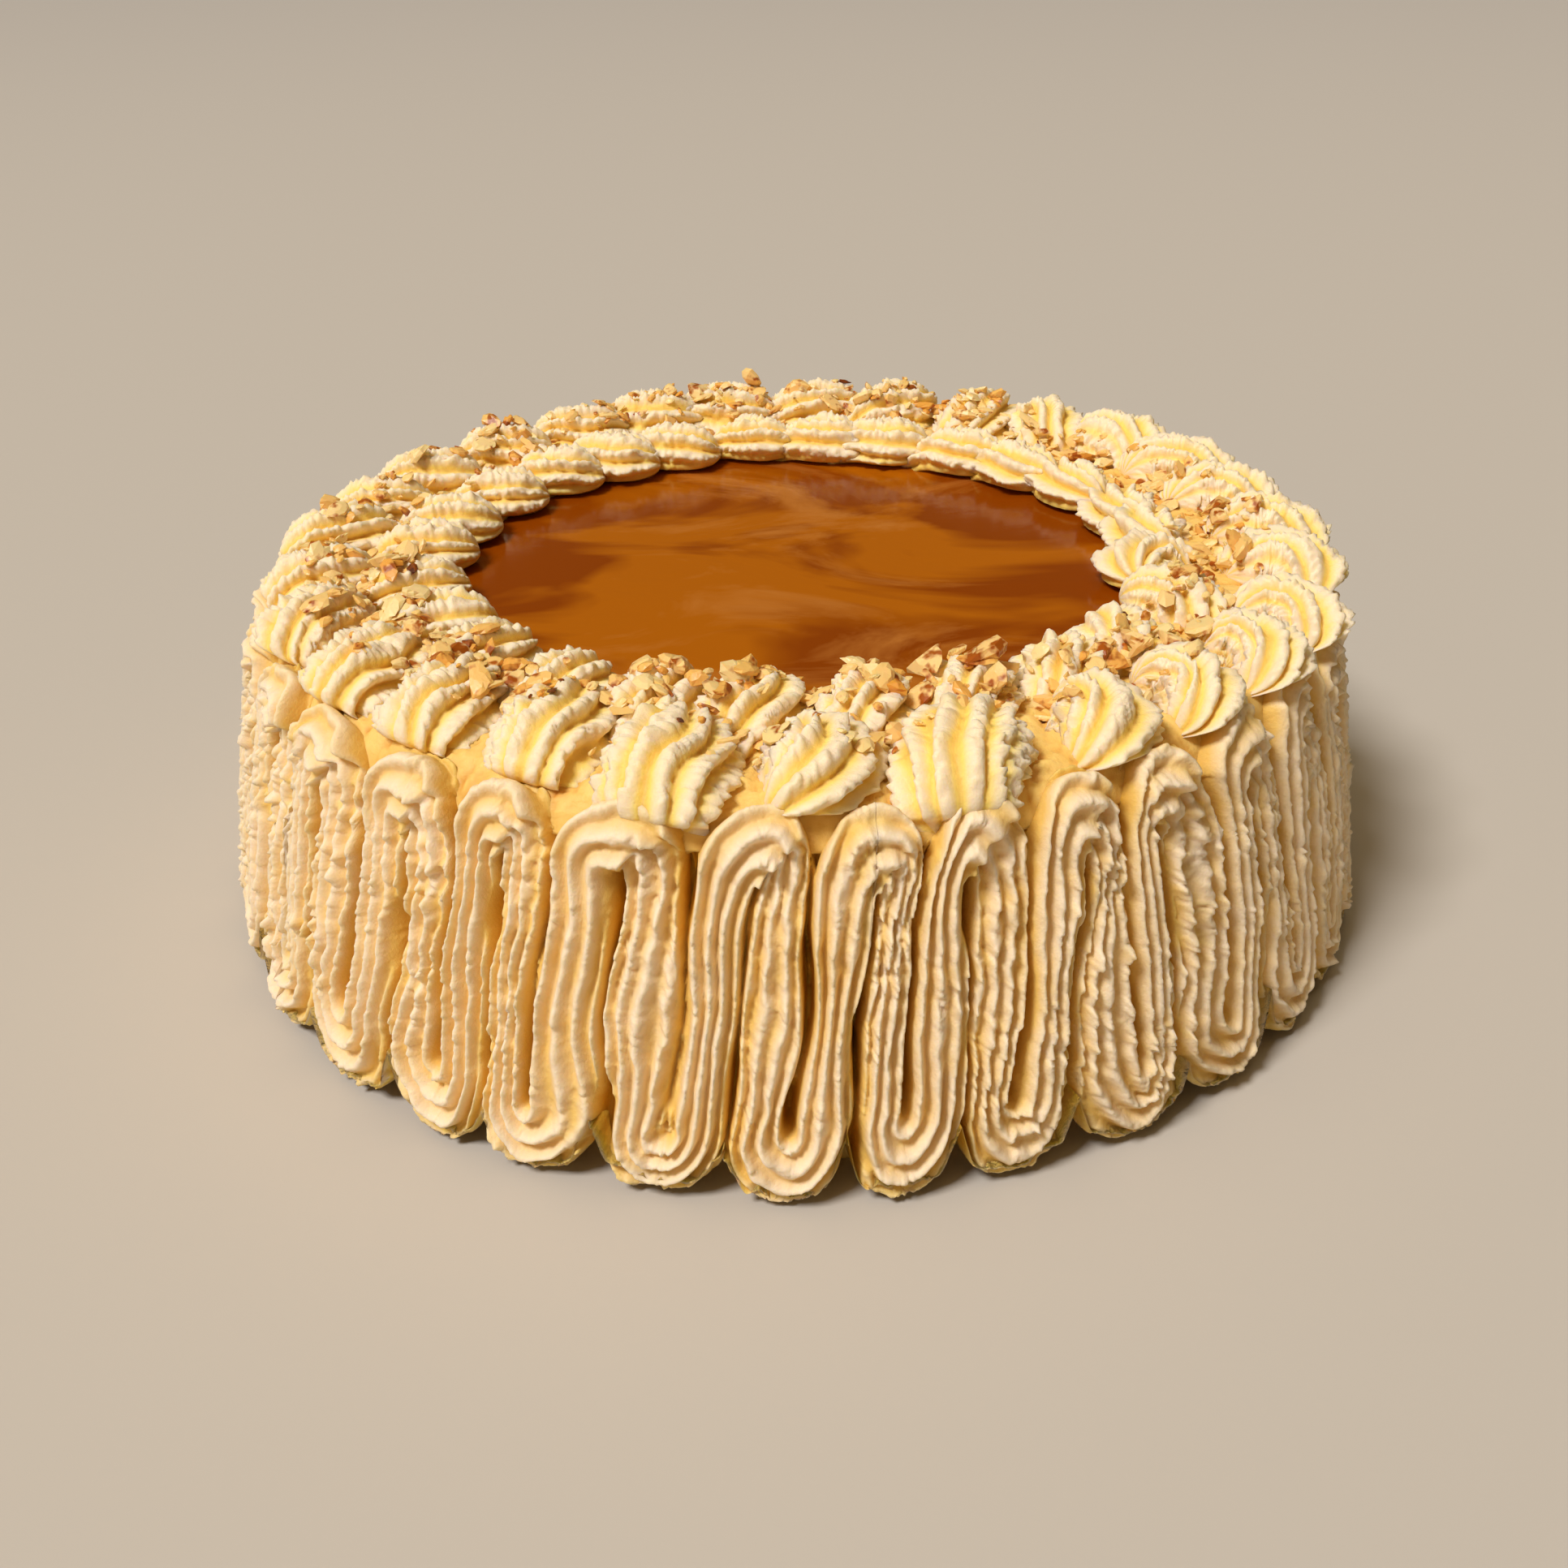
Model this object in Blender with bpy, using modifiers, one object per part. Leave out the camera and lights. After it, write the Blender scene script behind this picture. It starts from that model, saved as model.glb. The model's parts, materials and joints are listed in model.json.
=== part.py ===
"""A caramel cake, 28 cm across: a round cream-coated cake whose side is piped with one up-and-down
serpentine of star-nozzle cream, with a rim of piped shells and chopped nuts round a caramel top.

Metres, +Z up. The origin is the centre of the flat underside. Angles round the cake, called azimuths
here, are in degrees, from the front (-Y) and growing to the right (+X).
"""

import math
import random

import bmesh
import bpy
from mathutils import Matrix, Vector
from mathutils.bvhtree import BVHTree

# Driving dimensions
FOOT_RADIUS = 0.140       # reach of the side piping at its foot
CAKE_HEIGHT = 0.0755      # top of the cream coat, and of the caramel
CAKE_FOOT_RADIUS = 0.1255  # the coat at the bottom
CAKE_TOP_RADIUS = 0.1185  # the coat at the top
COAT_ROUNDING = 0.002     # of the coat's top edge
CARAMEL_RADIUS = 0.0820   # its margin lies under the rim piping
CARAMEL_DEPTH = 0.0025
CARAMEL_ROUNDING = 0.0008
GAP = 0.0003              # between touching pieces
WELD = 0.00001            # points this close are one
TURN_STEPS = 48           # sides of a turned piece
STEP_UNEVENNESS = (0.85, 1.15)  # of the steps from loop to loop and from shell to shell

LOOPS = 34                # up-and-down loops in the side piping
LOOP_TOP = 0.0786         # crown of a loop's upper turn
STRAND_RELIEF = 0.0062    # depth of the slit between two strands
FOOT_NOTCH = 0.0065       # rise of the foot's edge between two loops
CROWN_NOTCH = 0.0052      # dip of the top edge between two loops
TURN_DEPTH = 0.012        # height of the arc in which a loop turns, at its foot and at its crown
FOOT_ROUNDING = 0.0004    # how far the piping's lower edge is drawn in
CROWN_ROUNDING = 0.0035   # and its upper edge
STRAND_UNEVENNESS = (-0.0007, 0.0005)
CROWN_LEAN = (-1.0, 3.0)  # how far round a crown lies from the notch under it, in degrees
COLUMNS_PER_STRAND = 3

RIM_INNER_RADIUS = 0.0785  # the bed of cream under the shells
RIM_OUTER_RADIUS = 0.1175
RIM_BED_TOP = 0.0795
RIM_BED_SLOPE = 0.004     # how far the bed's sides lean in
OUTER_SHELLS = 28
INNER_SHELLS = 26
OUTER_SHELL_HALF_WIDTH = 0.0096
INNER_SHELL_HALF_WIDTH = 0.0082
SHELL_CENTRE_HEIGHT = 0.0780
OUTER_SHELL_RADIUS = 0.1125  # ring on which the outer shells' middles lie
INNER_SHELL_RADIUS = 0.0898
OUTER_SHELL_LENGTH = 0.029
INNER_SHELL_LENGTH = 0.026
INNER_SHELL_HOOK = 25
SHELL_SWERVE = (-6, 6)    # how far a shell points away from the rule, in degrees
SHELL_STRAY = (-0.001, 0.001)
SHELL_UNEVENNESS = (0.93, 1.07)
SHELL_SPREAD = (0.35, 0.65)  # where an inner shell lies in its share of the ring
TAIL_SHARE = 0.62         # of a shell's length, from its tail to its middle
HOOK_START = 0.4          # share of a shell's line after which it hooks round
DROOP_RADIUS = 0.114      # shells hang down where they reach further out than this
DROOP = 0.006             # how far they hang 12 mm further out
DROOP_WIDTH = 0.012

NUTS = 36
NUT_SIZE = (0.0048, 0.0085)  # smallest and largest chopped piece, across
NUT_SHAPE = (1.15, 0.9, 0.75)  # of a chopped piece, as shares of its size
NUT_UNEVENNESS = (0.8, 1.2)
NUT_TILT = (-0.5, 0.5)    # radians
NUT_BAND = (0.085, 0.109)    # ring of radii in which they lie

# The piping's reach at heights from the foot to the crown, as the side bells out downwards.
WALL_HEIGHTS = (0.000, 0.007, 0.014, 0.028, 0.042, 0.056, 0.070, 0.078)
WALL_RADII = (0.1404, 0.1394, 0.1382, 0.1360, 0.1335, 0.1308, 0.1272, 0.1240)
ROW_HEIGHTS = (0.0750, 0.0710, 0.0665, 0.0480, 0.0290, 0.0125, 0.0070, 0.0030)

# Shares of a shell's line, from its drawn-out tail to its round head, at which it gets a station.
OUTER_STATIONS = (0, 0.22, 0.44, 0.64, 0.82, 0.94, 1.0)
INNER_STATIONS = (0, 0.25, 0.5, 0.75, 0.92, 1.0)
SHELL_HALF_SECTION = ((1.0, -0.5), (0.80, 0.62), (0.38, 0.58))  # base, side ridge and valley
SHELL_CREST = 0.95        # these are shares of the half-width, across and up from the middle line
FULLEST = 0.6             # share of a shell's line where it is fullest
TAIL_FULLNESS = 0.25      # at its very end, of its half-width
HEAD_FULLNESS = 0.35

# Azimuths of the loops' feet and crowns where the front shows them; the rest are spread by a rule.
FRONT_FEET = (-55.5, -43.3, -31.5, -23.0, -11.9, -1.5, 7.7, 17.0, 28.6, 40.7, 50.7)
FRONT_CROWNS = (-49.0, -35.3, -26.0, -14.2, -2.7, 6.4, 14.0, 24.6, 32.6, 44.3)
FRONT_SHELLS = (-61.2, -48.5, -37.2, -25.4, -11.0, 1.4, 15.3, 29.1, 43.3, 55.2, 66.1)

# How the shells lie, by azimuth: the way each one's head points, in degrees from +X towards +Y,
# and how far its head hooks round. They were piped by one hand from one side, so they turn slowly.
LAY_AZIMUTHS = (-180, -135, -90, -60, -45, -20, 0, 30, 45, 60, 90, 135, 165, 180)
OUTER_POINTING = (-15, -5, 5, 20, 32, 45, 50, 62, 75, 85, 100, 120, 50, -15)
OUTER_HOOK = (30, 20, 20, 35, 45, 70, 95, 120, 135, 140, 130, 90, 50, 30)
INNER_POINTING = (-8, -12, 3, 28, 42, 55, 62, 88, 96, 100, 112, 225, 300, 352)


def remove_everything():
    for thing in list(bpy.data.objects):
        bpy.data.objects.remove(thing, do_unlink=True)


def make_collection(name, helper=False):
    collection = bpy.data.collections.new(name)
    bpy.context.scene.collection.children.link(collection)
    collection.hide_render = helper
    return collection


def make_material(name, colour, roughness):
    material = bpy.data.materials.new(name)
    material.use_nodes = True
    shader = material.node_tree.nodes["Principled BSDF"]
    shader.inputs["Base Color"].default_value = (*colour, 1.0)
    shader.inputs["Roughness"].default_value = roughness
    shader.inputs["Metallic"].default_value = 0.0
    return material


def add_object(name, mesh, collection, material=None):
    thing = bpy.data.objects.new(name, mesh)
    collection.objects.link(thing)
    if material:
        mesh.materials.append(material)
    return thing


def interpolate(x, xs, ys):
    """The value at x on the broken line through (xs, ys), held at its ends."""
    if x <= xs[0]:
        return ys[0]
    for x0, x1, y0, y1 in zip(xs, xs[1:], ys, ys[1:]):
        if x <= x1:
            return y0 + (y1 - y0) * (x - x0) / (x1 - x0)
    return ys[-1]


def at_azimuth(azimuth, radius, height=0.0):
    turn = math.radians(azimuth)
    return Vector((radius * math.sin(turn), -radius * math.cos(turn), height))


def fill_round(shown, count, seed):
    """The azimuths that the front shows, carried on round the back at uneven but similar steps."""
    draw = random.Random(seed)
    steps = [draw.uniform(*STEP_UNEVENNESS) for _ in range(count - len(shown) + 1)]
    scale = (360 - (shown[-1] - shown[0])) / sum(steps)
    azimuths = list(shown)
    for step in steps[:-1]:
        azimuths.append(azimuths[-1] + step * scale)
    return azimuths


def turned(name, profile, steps, collection, material=None, closed=False):
    """A solid turned from a profile of (radius, height) points that runs down its outer side."""
    mesh = bpy.data.meshes.new(name)
    edges = [(i, i + 1) for i in range(len(profile) - 1)]
    if closed:
        edges.append((len(profile) - 1, 0))
    mesh.from_pydata([(radius, 0.0, height) for radius, height in profile], edges, [])
    thing = add_object(name, mesh, collection, material)
    screw = thing.modifiers.new("Turn", "SCREW")
    screw.axis = "Z"
    screw.angle = math.tau
    screw.steps = screw.render_steps = steps
    screw.use_merge_vertices = True
    screw.merge_threshold = WELD
    screw.use_smooth_shade = True
    return thing


def apply_modifiers(thing):
    graph = bpy.context.evaluated_depsgraph_get()
    mesh = bpy.data.meshes.new_from_object(thing.evaluated_get(graph))
    old = thing.data
    thing.modifiers.clear()
    thing.data = mesh
    bpy.data.meshes.remove(old)
    mesh.name = thing.name


def join_all(thing, collection):
    """One union of the object with everything in a collection, which is then emptied."""
    union = thing.modifiers.new("Join", "BOOLEAN")
    union.operation = "UNION"
    union.solver = "MANIFOLD"
    union.operand_type = "COLLECTION"
    union.collection = collection
    apply_modifiers(thing)
    for piece in list(collection.objects):
        bpy.data.objects.remove(piece, do_unlink=True)


def keep_largest_skin(thing):
    """Drops the skins of sealed hollows, which fills them, and any loose scrap."""
    shape = bmesh.new()
    shape.from_mesh(thing.data)
    unseen = set(shape.faces)
    skins = []
    while unseen:
        skin = [unseen.pop()]
        for face in skin:
            for edge in face.edges:
                reached = [near for near in edge.link_faces if near in unseen]
                unseen.difference_update(reached)
                skin.extend(reached)
        skins.append(skin)
    skins.sort(key=len)
    for skin in skins[:-1]:
        bmesh.ops.delete(shape, geom=skin, context="FACES")
    shape.to_mesh(thing.data)
    shape.free()


def build_cake(collection):
    """The cake in its thin cream coat, with a shallow recess in its top for the caramel."""
    recess = CAKE_HEIGHT - CARAMEL_DEPTH - GAP
    profile = (
        (0.0, recess),
        (CARAMEL_RADIUS + GAP, recess),
        (CARAMEL_RADIUS + GAP, CAKE_HEIGHT),
        (CAKE_TOP_RADIUS - COAT_ROUNDING, CAKE_HEIGHT),
        (CAKE_TOP_RADIUS, CAKE_HEIGHT - COAT_ROUNDING),
        (CAKE_FOOT_RADIUS, 0.0),
        (0.0, 0.0),
    )
    cream = make_material("cream_coat", (0.93, 0.79, 0.50), 0.55)
    return turned("cake", profile, TURN_STEPS, collection, cream)


def build_caramel(collection):
    """The poured caramel, a thin disc with a soft edge."""
    profile = (
        (0.0, CAKE_HEIGHT),
        (CARAMEL_RADIUS - CARAMEL_ROUNDING, CAKE_HEIGHT),
        (CARAMEL_RADIUS, CAKE_HEIGHT - CARAMEL_ROUNDING),
        (CARAMEL_RADIUS, CAKE_HEIGHT - CARAMEL_DEPTH),
        (0.0, CAKE_HEIGHT - CARAMEL_DEPTH),
    )
    caramel = make_material("caramel", (0.40, 0.13, 0.012), 0.12)
    return turned("caramel", profile, TURN_STEPS, collection, caramel)


def loop_lines():
    """For each loop: the azimuths of its foot, the notch after it, its crown and the notch before it."""
    feet = fill_round(FRONT_FEET, LOOPS, seed=4)
    following = feet[1:] + [feet[0] + 360]
    notches = [(a + b) / 2 for a, b in zip(feet, following)]
    draw = random.Random(9)
    crowns = [notch + draw.uniform(*CROWN_LEAN) for notch in notches]
    crowns[: len(FRONT_CROWNS)] = FRONT_CROWNS
    before = [crowns[-1] - 360] + crowns[:-1]
    crown_notches = [(a + b) / 2 for a, b in zip(before, crowns)]
    return list(zip(feet, notches, crowns, crown_notches))


def column_ends():
    """Each column of the side piping: its azimuths at the foot and at the crown, and its place
    across the strand, from 0 at the slit in a lower turn to 1 at the slit in an upper turn."""
    lines = loop_lines()
    first_foot, _, _, first_notch = lines[0]
    shares = [k / COLUMNS_PER_STRAND for k in range(COLUMNS_PER_STRAND)]
    ends = []
    for i, (foot, notch, crown, crown_notch) in enumerate(lines):
        if i + 1 < len(lines):
            next_foot, _, _, next_notch = lines[i + 1]
        else:
            next_foot, next_notch = first_foot + 360, first_notch + 360
        for share in shares:
            low = foot + (notch - foot) * share
            high = crown_notch + (crown - crown_notch) * share
            ends.append((low, high, share))
        for share in shares:
            low = notch + (next_foot - notch) * share
            high = crown + (next_notch - crown) * share
            ends.append((low, high, 1 - share))
    return ends


def strand_height(across):
    """How proud a strand stands at a place across it: 0 in the slits beside it, 1 on its back."""
    return math.sin(math.pi * min(max(across, 0.0), 1.0)) ** 0.6


def lobe(share):
    """How far a rounded lobe's edge draws back at a share of the way from its tip to the notch."""
    return 1 - math.sqrt(1 - share**2 * 0.98)


def side_point(row, low, high, share, unevenness):
    """A point on the face of the side piping. Rows count from the crown's edge down to the foot's.
    Near the foot the strand's back bends into an arc round the slit's end, near the crown likewise."""
    foot_edge = FOOT_NOTCH * lobe(share)
    crown_edge = LOOP_TOP - CROWN_NOTCH * lobe(1 - share)
    if row == 0:
        height = crown_edge
    elif row == len(ROW_HEIGHTS) + 1:
        height = foot_edge
    else:
        height = foot_edge + (crown_edge - foot_edge) * ROW_HEIGHTS[row - 1] / LOOP_TOP
    azimuth = low + (high - low) * height / LOOP_TOP
    reach = interpolate(height, WALL_HEIGHTS, WALL_RADII)
    if row == 0:
        return at_azimuth(azimuth, reach - CROWN_ROUNDING + unevenness, height)
    if row == len(ROW_HEIGHTS) + 1:
        return at_azimuth(azimuth, reach - FOOT_ROUNDING + min(unevenness, 0.0), height)
    below = max(0.0, (TURN_DEPTH - height) / TURN_DEPTH)
    above = max(0.0, (height - (LOOP_TOP - TURN_DEPTH)) / TURN_DEPTH)
    across = math.hypot(share, below)
    if above > 0:
        across = 1 - math.hypot(1 - share, above)
    sunk = STRAND_RELIEF * (1 - strand_height(across))
    return at_azimuth(azimuth, reach - sunk + unevenness, height)


def build_side_piping(collection):
    """The serpentine as one sleeve round the cake: its profile is turned, then each ring of points
    is drawn to the strands, slits and scalloped edges."""
    columns = column_ends()
    levels = (LOOP_TOP, *ROW_HEIGHTS, 0.0)
    outer = [(FOOT_RADIUS, height) for height in levels]
    inner_top = CAKE_HEIGHT - COAT_ROUNDING
    inner = [(CAKE_FOOT_RADIUS + GAP, 0.0), (CAKE_TOP_RADIUS + GAP, inner_top)]
    cream = make_material("side_cream", (0.92, 0.78, 0.52), 0.5)
    sleeve = turned("side_piping", outer + inner, len(columns), collection, cream, closed=True)
    apply_modifiers(sleeve)
    draw = random.Random(21)
    unevenness = [draw.uniform(*STRAND_UNEVENNESS) for _ in columns]
    for vertex in sleeve.data.vertices:
        x, y, z = vertex.co
        column = round(math.atan2(y, x) / math.tau * len(columns)) % len(columns)
        low, high, share = columns[column]
        radius = math.hypot(x, y)
        if radius > FOOT_RADIUS - GAP:
            row = min(range(len(levels)), key=lambda i: abs(levels[i] - z))
            vertex.co = side_point(row, low, high, share, unevenness[column])
        else:
            vertex.co = at_azimuth(low if z < GAP else high, radius, z)
    return sleeve


def shell_section(helpers):
    """The piped shell's section as a closed curve: three ridges over the top and a plain base."""
    left = [(-across, up) for across, up in reversed(SHELL_HALF_SECTION)]
    outline = [*SHELL_HALF_SECTION, (0.0, SHELL_CREST), *left]
    curve = bpy.data.curves.new("shell_section", "CURVE")
    curve.dimensions = "2D"
    spline = curve.splines.new("POLY")
    spline.points.add(len(outline) - 1)
    for point, (across, up) in zip(spline.points, outline):
        point.co = (across, up, 0.0, 1.0)
    spline.use_cyclic_u = True
    section = bpy.data.objects.new("shell_section", curve)
    section.hide_render = True
    helpers.objects.link(section)
    return section


def shell_fullness(along):
    """A shell swells from its tail to its fullest place, then rounds off like an egg to its head."""
    if along < FULLEST:
        return TAIL_FULLNESS + (1 - TAIL_FULLNESS) * math.sin(math.pi / 2 * along / FULLEST)
    past = (along - FULLEST) / (1 - FULLEST)
    return math.sqrt(1 - (1 - HEAD_FULLNESS**2) * past**2)


def shell_line(centre, pointing, hook, length, shares):
    """A shell's middle line from its drawn-out tail to its head, which hooks round to the left.
    Each station is a place and the shell's fullness there."""
    heading = math.radians(pointing)
    direction = Vector((math.cos(heading), math.sin(heading), 0))
    place = Vector(centre) - direction * length * TAIL_SHARE
    stations = []
    for along, following in zip(shares, (*shares[1:], 1.0)):
        overhang = max(0.0, (math.hypot(place.x, place.y) - DROOP_RADIUS) / DROOP_WIDTH)
        height = SHELL_CENTRE_HEIGHT - DROOP * overhang**1.5
        stations.append((Vector((place.x, place.y, height)), shell_fullness(along)))
        if along > HOOK_START:
            heading += math.radians(hook) * (following - along) / (1 - HOOK_START)
        step = Vector((math.cos(heading), math.sin(heading), 0)) * (following - along)
        place = place + step * length * 2 * TAIL_SHARE
    return stations


def add_shell(name, stations, half_width, section, collection):
    """One shell: the section carried along its line, made a closed mesh."""
    curve = bpy.data.curves.new(name, "CURVE")
    curve.dimensions = "3D"
    curve.twist_mode = "Z_UP"
    curve.bevel_mode = "OBJECT"
    curve.bevel_object = section
    curve.use_fill_caps = True
    spline = curve.splines.new("POLY")
    spline.points.add(len(stations) - 1)
    for point, (place, fullness) in zip(spline.points, stations):
        point.co = (*place, 1.0)
        point.radius = half_width * fullness
    guide = bpy.data.objects.new(name + "_line", curve)
    collection.objects.link(guide)
    bpy.context.view_layer.update()
    graph = bpy.context.evaluated_depsgraph_get()
    mesh = bpy.data.meshes.new_from_object(guide.evaluated_get(graph))
    shape = bmesh.new()
    shape.from_mesh(mesh)
    bmesh.ops.remove_doubles(shape, verts=shape.verts, dist=WELD)
    bmesh.ops.recalc_face_normals(shape, faces=shape.faces)
    shape.to_mesh(mesh)
    shape.free()
    bpy.data.objects.remove(guide, do_unlink=True)
    return add_object(name, mesh, collection)


def add_shells(section, collection):
    draw = random.Random(33)
    outer = fill_round(FRONT_SHELLS, OUTER_SHELLS, seed=7)
    for i, azimuth in enumerate(outer):
        azimuth = (azimuth + 180) % 360 - 180
        pointing = interpolate(azimuth, LAY_AZIMUTHS, OUTER_POINTING) + draw.uniform(*SHELL_SWERVE)
        hook = interpolate(azimuth, LAY_AZIMUTHS, OUTER_HOOK)
        centre = at_azimuth(azimuth, OUTER_SHELL_RADIUS + draw.uniform(*SHELL_STRAY))
        line = shell_line(centre, pointing, hook, OUTER_SHELL_LENGTH, OUTER_STATIONS)
        half_width = OUTER_SHELL_HALF_WIDTH * draw.uniform(*SHELL_UNEVENNESS)
        add_shell(f"outer_shell_{i}", line, half_width, section, collection)
    for i in range(INNER_SHELLS):
        azimuth = -180 + (i + draw.uniform(*SHELL_SPREAD)) * 360 / INNER_SHELLS
        pointing = interpolate(azimuth, LAY_AZIMUTHS, INNER_POINTING) + draw.uniform(*SHELL_SWERVE)
        centre = at_azimuth(azimuth, INNER_SHELL_RADIUS + draw.uniform(*SHELL_STRAY))
        line = shell_line(centre, pointing, INNER_SHELL_HOOK, INNER_SHELL_LENGTH, INNER_STATIONS)
        half_width = INNER_SHELL_HALF_WIDTH * draw.uniform(*SHELL_UNEVENNESS)
        add_shell(f"inner_shell_{i}", line, half_width, section, collection)


def add_nuts(rim, collection):
    """Chopped nuts, uneven lumps sunk a little into the shells, largest first, spread evenly."""
    surface = bmesh.new()
    surface.from_mesh(rim.data)
    tree = BVHTree.FromBMesh(surface)
    surface.free()
    draw = random.Random(58)
    golden_angle = 137.508
    well_above = 2 * CAKE_HEIGHT
    for i in range(NUTS):
        size = NUT_SIZE[1] + (NUT_SIZE[0] - NUT_SIZE[1]) * i / (NUTS - 1)
        above = at_azimuth(i * golden_angle, draw.uniform(*NUT_BAND), well_above)
        place = tree.ray_cast(above, Vector((0, 0, -1)))[0]
        lump = bmesh.new()
        bmesh.ops.create_icosphere(lump, subdivisions=1, radius=size / 2)
        for vertex in lump.verts:
            vertex.co *= draw.uniform(*NUT_UNEVENNESS)
        turn = Matrix.Rotation(draw.uniform(0, math.tau), 4, "Z")
        tilt = Matrix.Rotation(draw.uniform(*NUT_TILT), 4, "X")
        form = Matrix.Diagonal((*NUT_SHAPE, 1.0))
        lump.transform(Matrix.Translation(place) @ turn @ tilt @ form)
        mesh = bpy.data.meshes.new(f"nut_{i}")
        lump.to_mesh(mesh)
        lump.free()
        add_object(f"nut_{i}", mesh, collection)


def add_rim_clearance(helpers):
    """A turned cutter that keeps the rim clear of the cake, the caramel and the side piping."""
    floor = CAKE_HEIGHT + GAP
    crown = LOOP_TOP + GAP
    corner = CAKE_TOP_RADIUS - GAP
    well_below = CAKE_HEIGHT / 2
    profile = (
        (0, floor),
        (corner, floor),
        (corner, crown),
        (FOOT_RADIUS, crown),
        (FOOT_RADIUS, well_below),
        (0, well_below),
    )
    cutter = turned("rim_clearance", profile, TURN_STEPS, helpers)
    cutter.hide_render = True
    cutter.display_type = "WIRE"
    return cutter


def build_rim_piping(collection, helpers):
    """Two rows of shells on a bed of cream, cut to lie on the top, with nuts fused on."""
    bed_foot = CAKE_HEIGHT - GAP
    profile = (
        (RIM_INNER_RADIUS, bed_foot),
        (RIM_INNER_RADIUS + RIM_BED_SLOPE, RIM_BED_TOP),
        (RIM_OUTER_RADIUS - RIM_BED_SLOPE, RIM_BED_TOP),
        (RIM_OUTER_RADIUS, bed_foot),
    )
    cream = make_material("rim_cream", (0.95, 0.84, 0.60), 0.5)
    rim = turned("rim_piping", profile, TURN_STEPS, collection, cream, closed=True)
    apply_modifiers(rim)
    pieces = make_collection("rim_pieces", helper=True)
    add_shells(shell_section(helpers), pieces)
    join_all(rim, pieces)
    cut = rim.modifiers.new("Clear", "BOOLEAN")
    cut.operation = "DIFFERENCE"
    cut.solver = "MANIFOLD"
    cut.object = add_rim_clearance(helpers)
    apply_modifiers(rim)
    keep_largest_skin(rim)
    add_nuts(rim, pieces)
    join_all(rim, pieces)
    keep_largest_skin(rim)
    bpy.data.collections.remove(pieces)
    return rim


def main():
    remove_everything()
    cake = make_collection("caramel_cake")
    helpers = make_collection("cutters", helper=True)
    build_cake(cake)
    build_caramel(cake)
    build_side_piping(cake)
    build_rim_piping(cake, helpers)


main()
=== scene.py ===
"""Finish of a caramel cake: its star-nozzle serpentine, its rim of piped shells, the chopped nuts between
them and its poured caramel, built over the cake's solid core.

Metres, +Z up. The origin is the centre of the flat underside. Azimuths round the cake are in degrees,
from the front (-Y) and growing to the right (+X).
"""

import json
import math
import random

import bpy
import numpy as np
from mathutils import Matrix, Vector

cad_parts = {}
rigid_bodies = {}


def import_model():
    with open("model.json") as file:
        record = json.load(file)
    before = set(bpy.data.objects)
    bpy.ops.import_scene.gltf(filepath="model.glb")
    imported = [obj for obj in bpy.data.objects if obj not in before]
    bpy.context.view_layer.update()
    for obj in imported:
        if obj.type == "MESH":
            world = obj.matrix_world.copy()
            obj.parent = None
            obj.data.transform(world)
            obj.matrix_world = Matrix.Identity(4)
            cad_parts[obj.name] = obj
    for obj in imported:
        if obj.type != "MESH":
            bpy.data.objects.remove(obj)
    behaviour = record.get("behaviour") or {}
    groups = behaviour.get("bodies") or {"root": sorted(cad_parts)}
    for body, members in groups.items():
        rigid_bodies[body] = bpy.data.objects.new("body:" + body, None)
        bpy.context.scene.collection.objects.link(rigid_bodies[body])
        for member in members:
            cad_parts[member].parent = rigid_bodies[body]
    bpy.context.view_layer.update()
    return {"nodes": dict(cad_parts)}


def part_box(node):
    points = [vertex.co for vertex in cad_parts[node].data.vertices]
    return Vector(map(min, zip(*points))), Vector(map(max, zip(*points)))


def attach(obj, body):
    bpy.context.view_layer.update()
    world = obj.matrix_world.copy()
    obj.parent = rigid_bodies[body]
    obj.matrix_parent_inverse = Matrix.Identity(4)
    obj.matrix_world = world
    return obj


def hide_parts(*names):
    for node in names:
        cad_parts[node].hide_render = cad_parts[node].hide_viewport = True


bl_info = {
    "name": "Caramel Cake",
    "version": (1, 0, 0),
    "blender": (4, 5, 0),
    "location": "3D View > Sidebar > Cake",
    "description": "Pipes the side and rim of a caramel cake, strews it with chopped nuts and finishes it",
    "category": "Add Mesh",
}

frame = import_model()
BODY = "root"

MILLIMETRE = 0.001

# Sizes read from the solid core
CROWN_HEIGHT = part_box("side_piping")[1].z
CAKE_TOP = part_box("cake")[1].z
COAT_FOOT_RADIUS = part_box("cake")[1].x

# The serpentine on the side
LOOPS = 34
STRANDS = 2 * LOOPS
FRONT_FEET = (-55.5, -43.3, -31.5, -23.0, -11.9, -1.5, 7.7, 17.0, 28.6, 40.7, 50.7)
FRONT_CROWNS = (-49.0, -35.3, -26.0, -14.2, -2.7, 6.6, 15.2, 24.6, 32.9, 44.3)
CROWN_LEAN = (-1.0, 3.0)
STEP_UNEVENNESS = (0.85, 1.15)
FOOT_NOTCH = 0.0092
CROWN_NOTCH = 0.0088
NOTCH_WIDTH = 0.3         # the part of a lobe's half-width where its edge turns into the notch
ARCH_BREADTH = 2.6        # 2 for elliptic arcs at the crown, more for arcs with broader shoulders
TURN_UNEVENNESS = 0.2     # how much the turns differ in height, as a part of it
LAP_END = 2.1             # how far round the slit's end a turn laps over, in radians
WALL_HEIGHTS = (0.000, 0.007, 0.014, 0.028, 0.042, 0.056, 0.070, 0.078)
WALL_RADII = (0.1404, 0.1394, 0.1382, 0.1360, 0.1335, 0.1308, 0.1272, 0.1240)
FOOT_ROUNDING = 0.0022
CROWN_ROUNDING = 0.0056
STRAND_WIDTH = 0.0127
BEAD_STEPS = (1.3, 0.68)  # cells of the coarse and the fine beads along a crest, in millimetres
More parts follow.
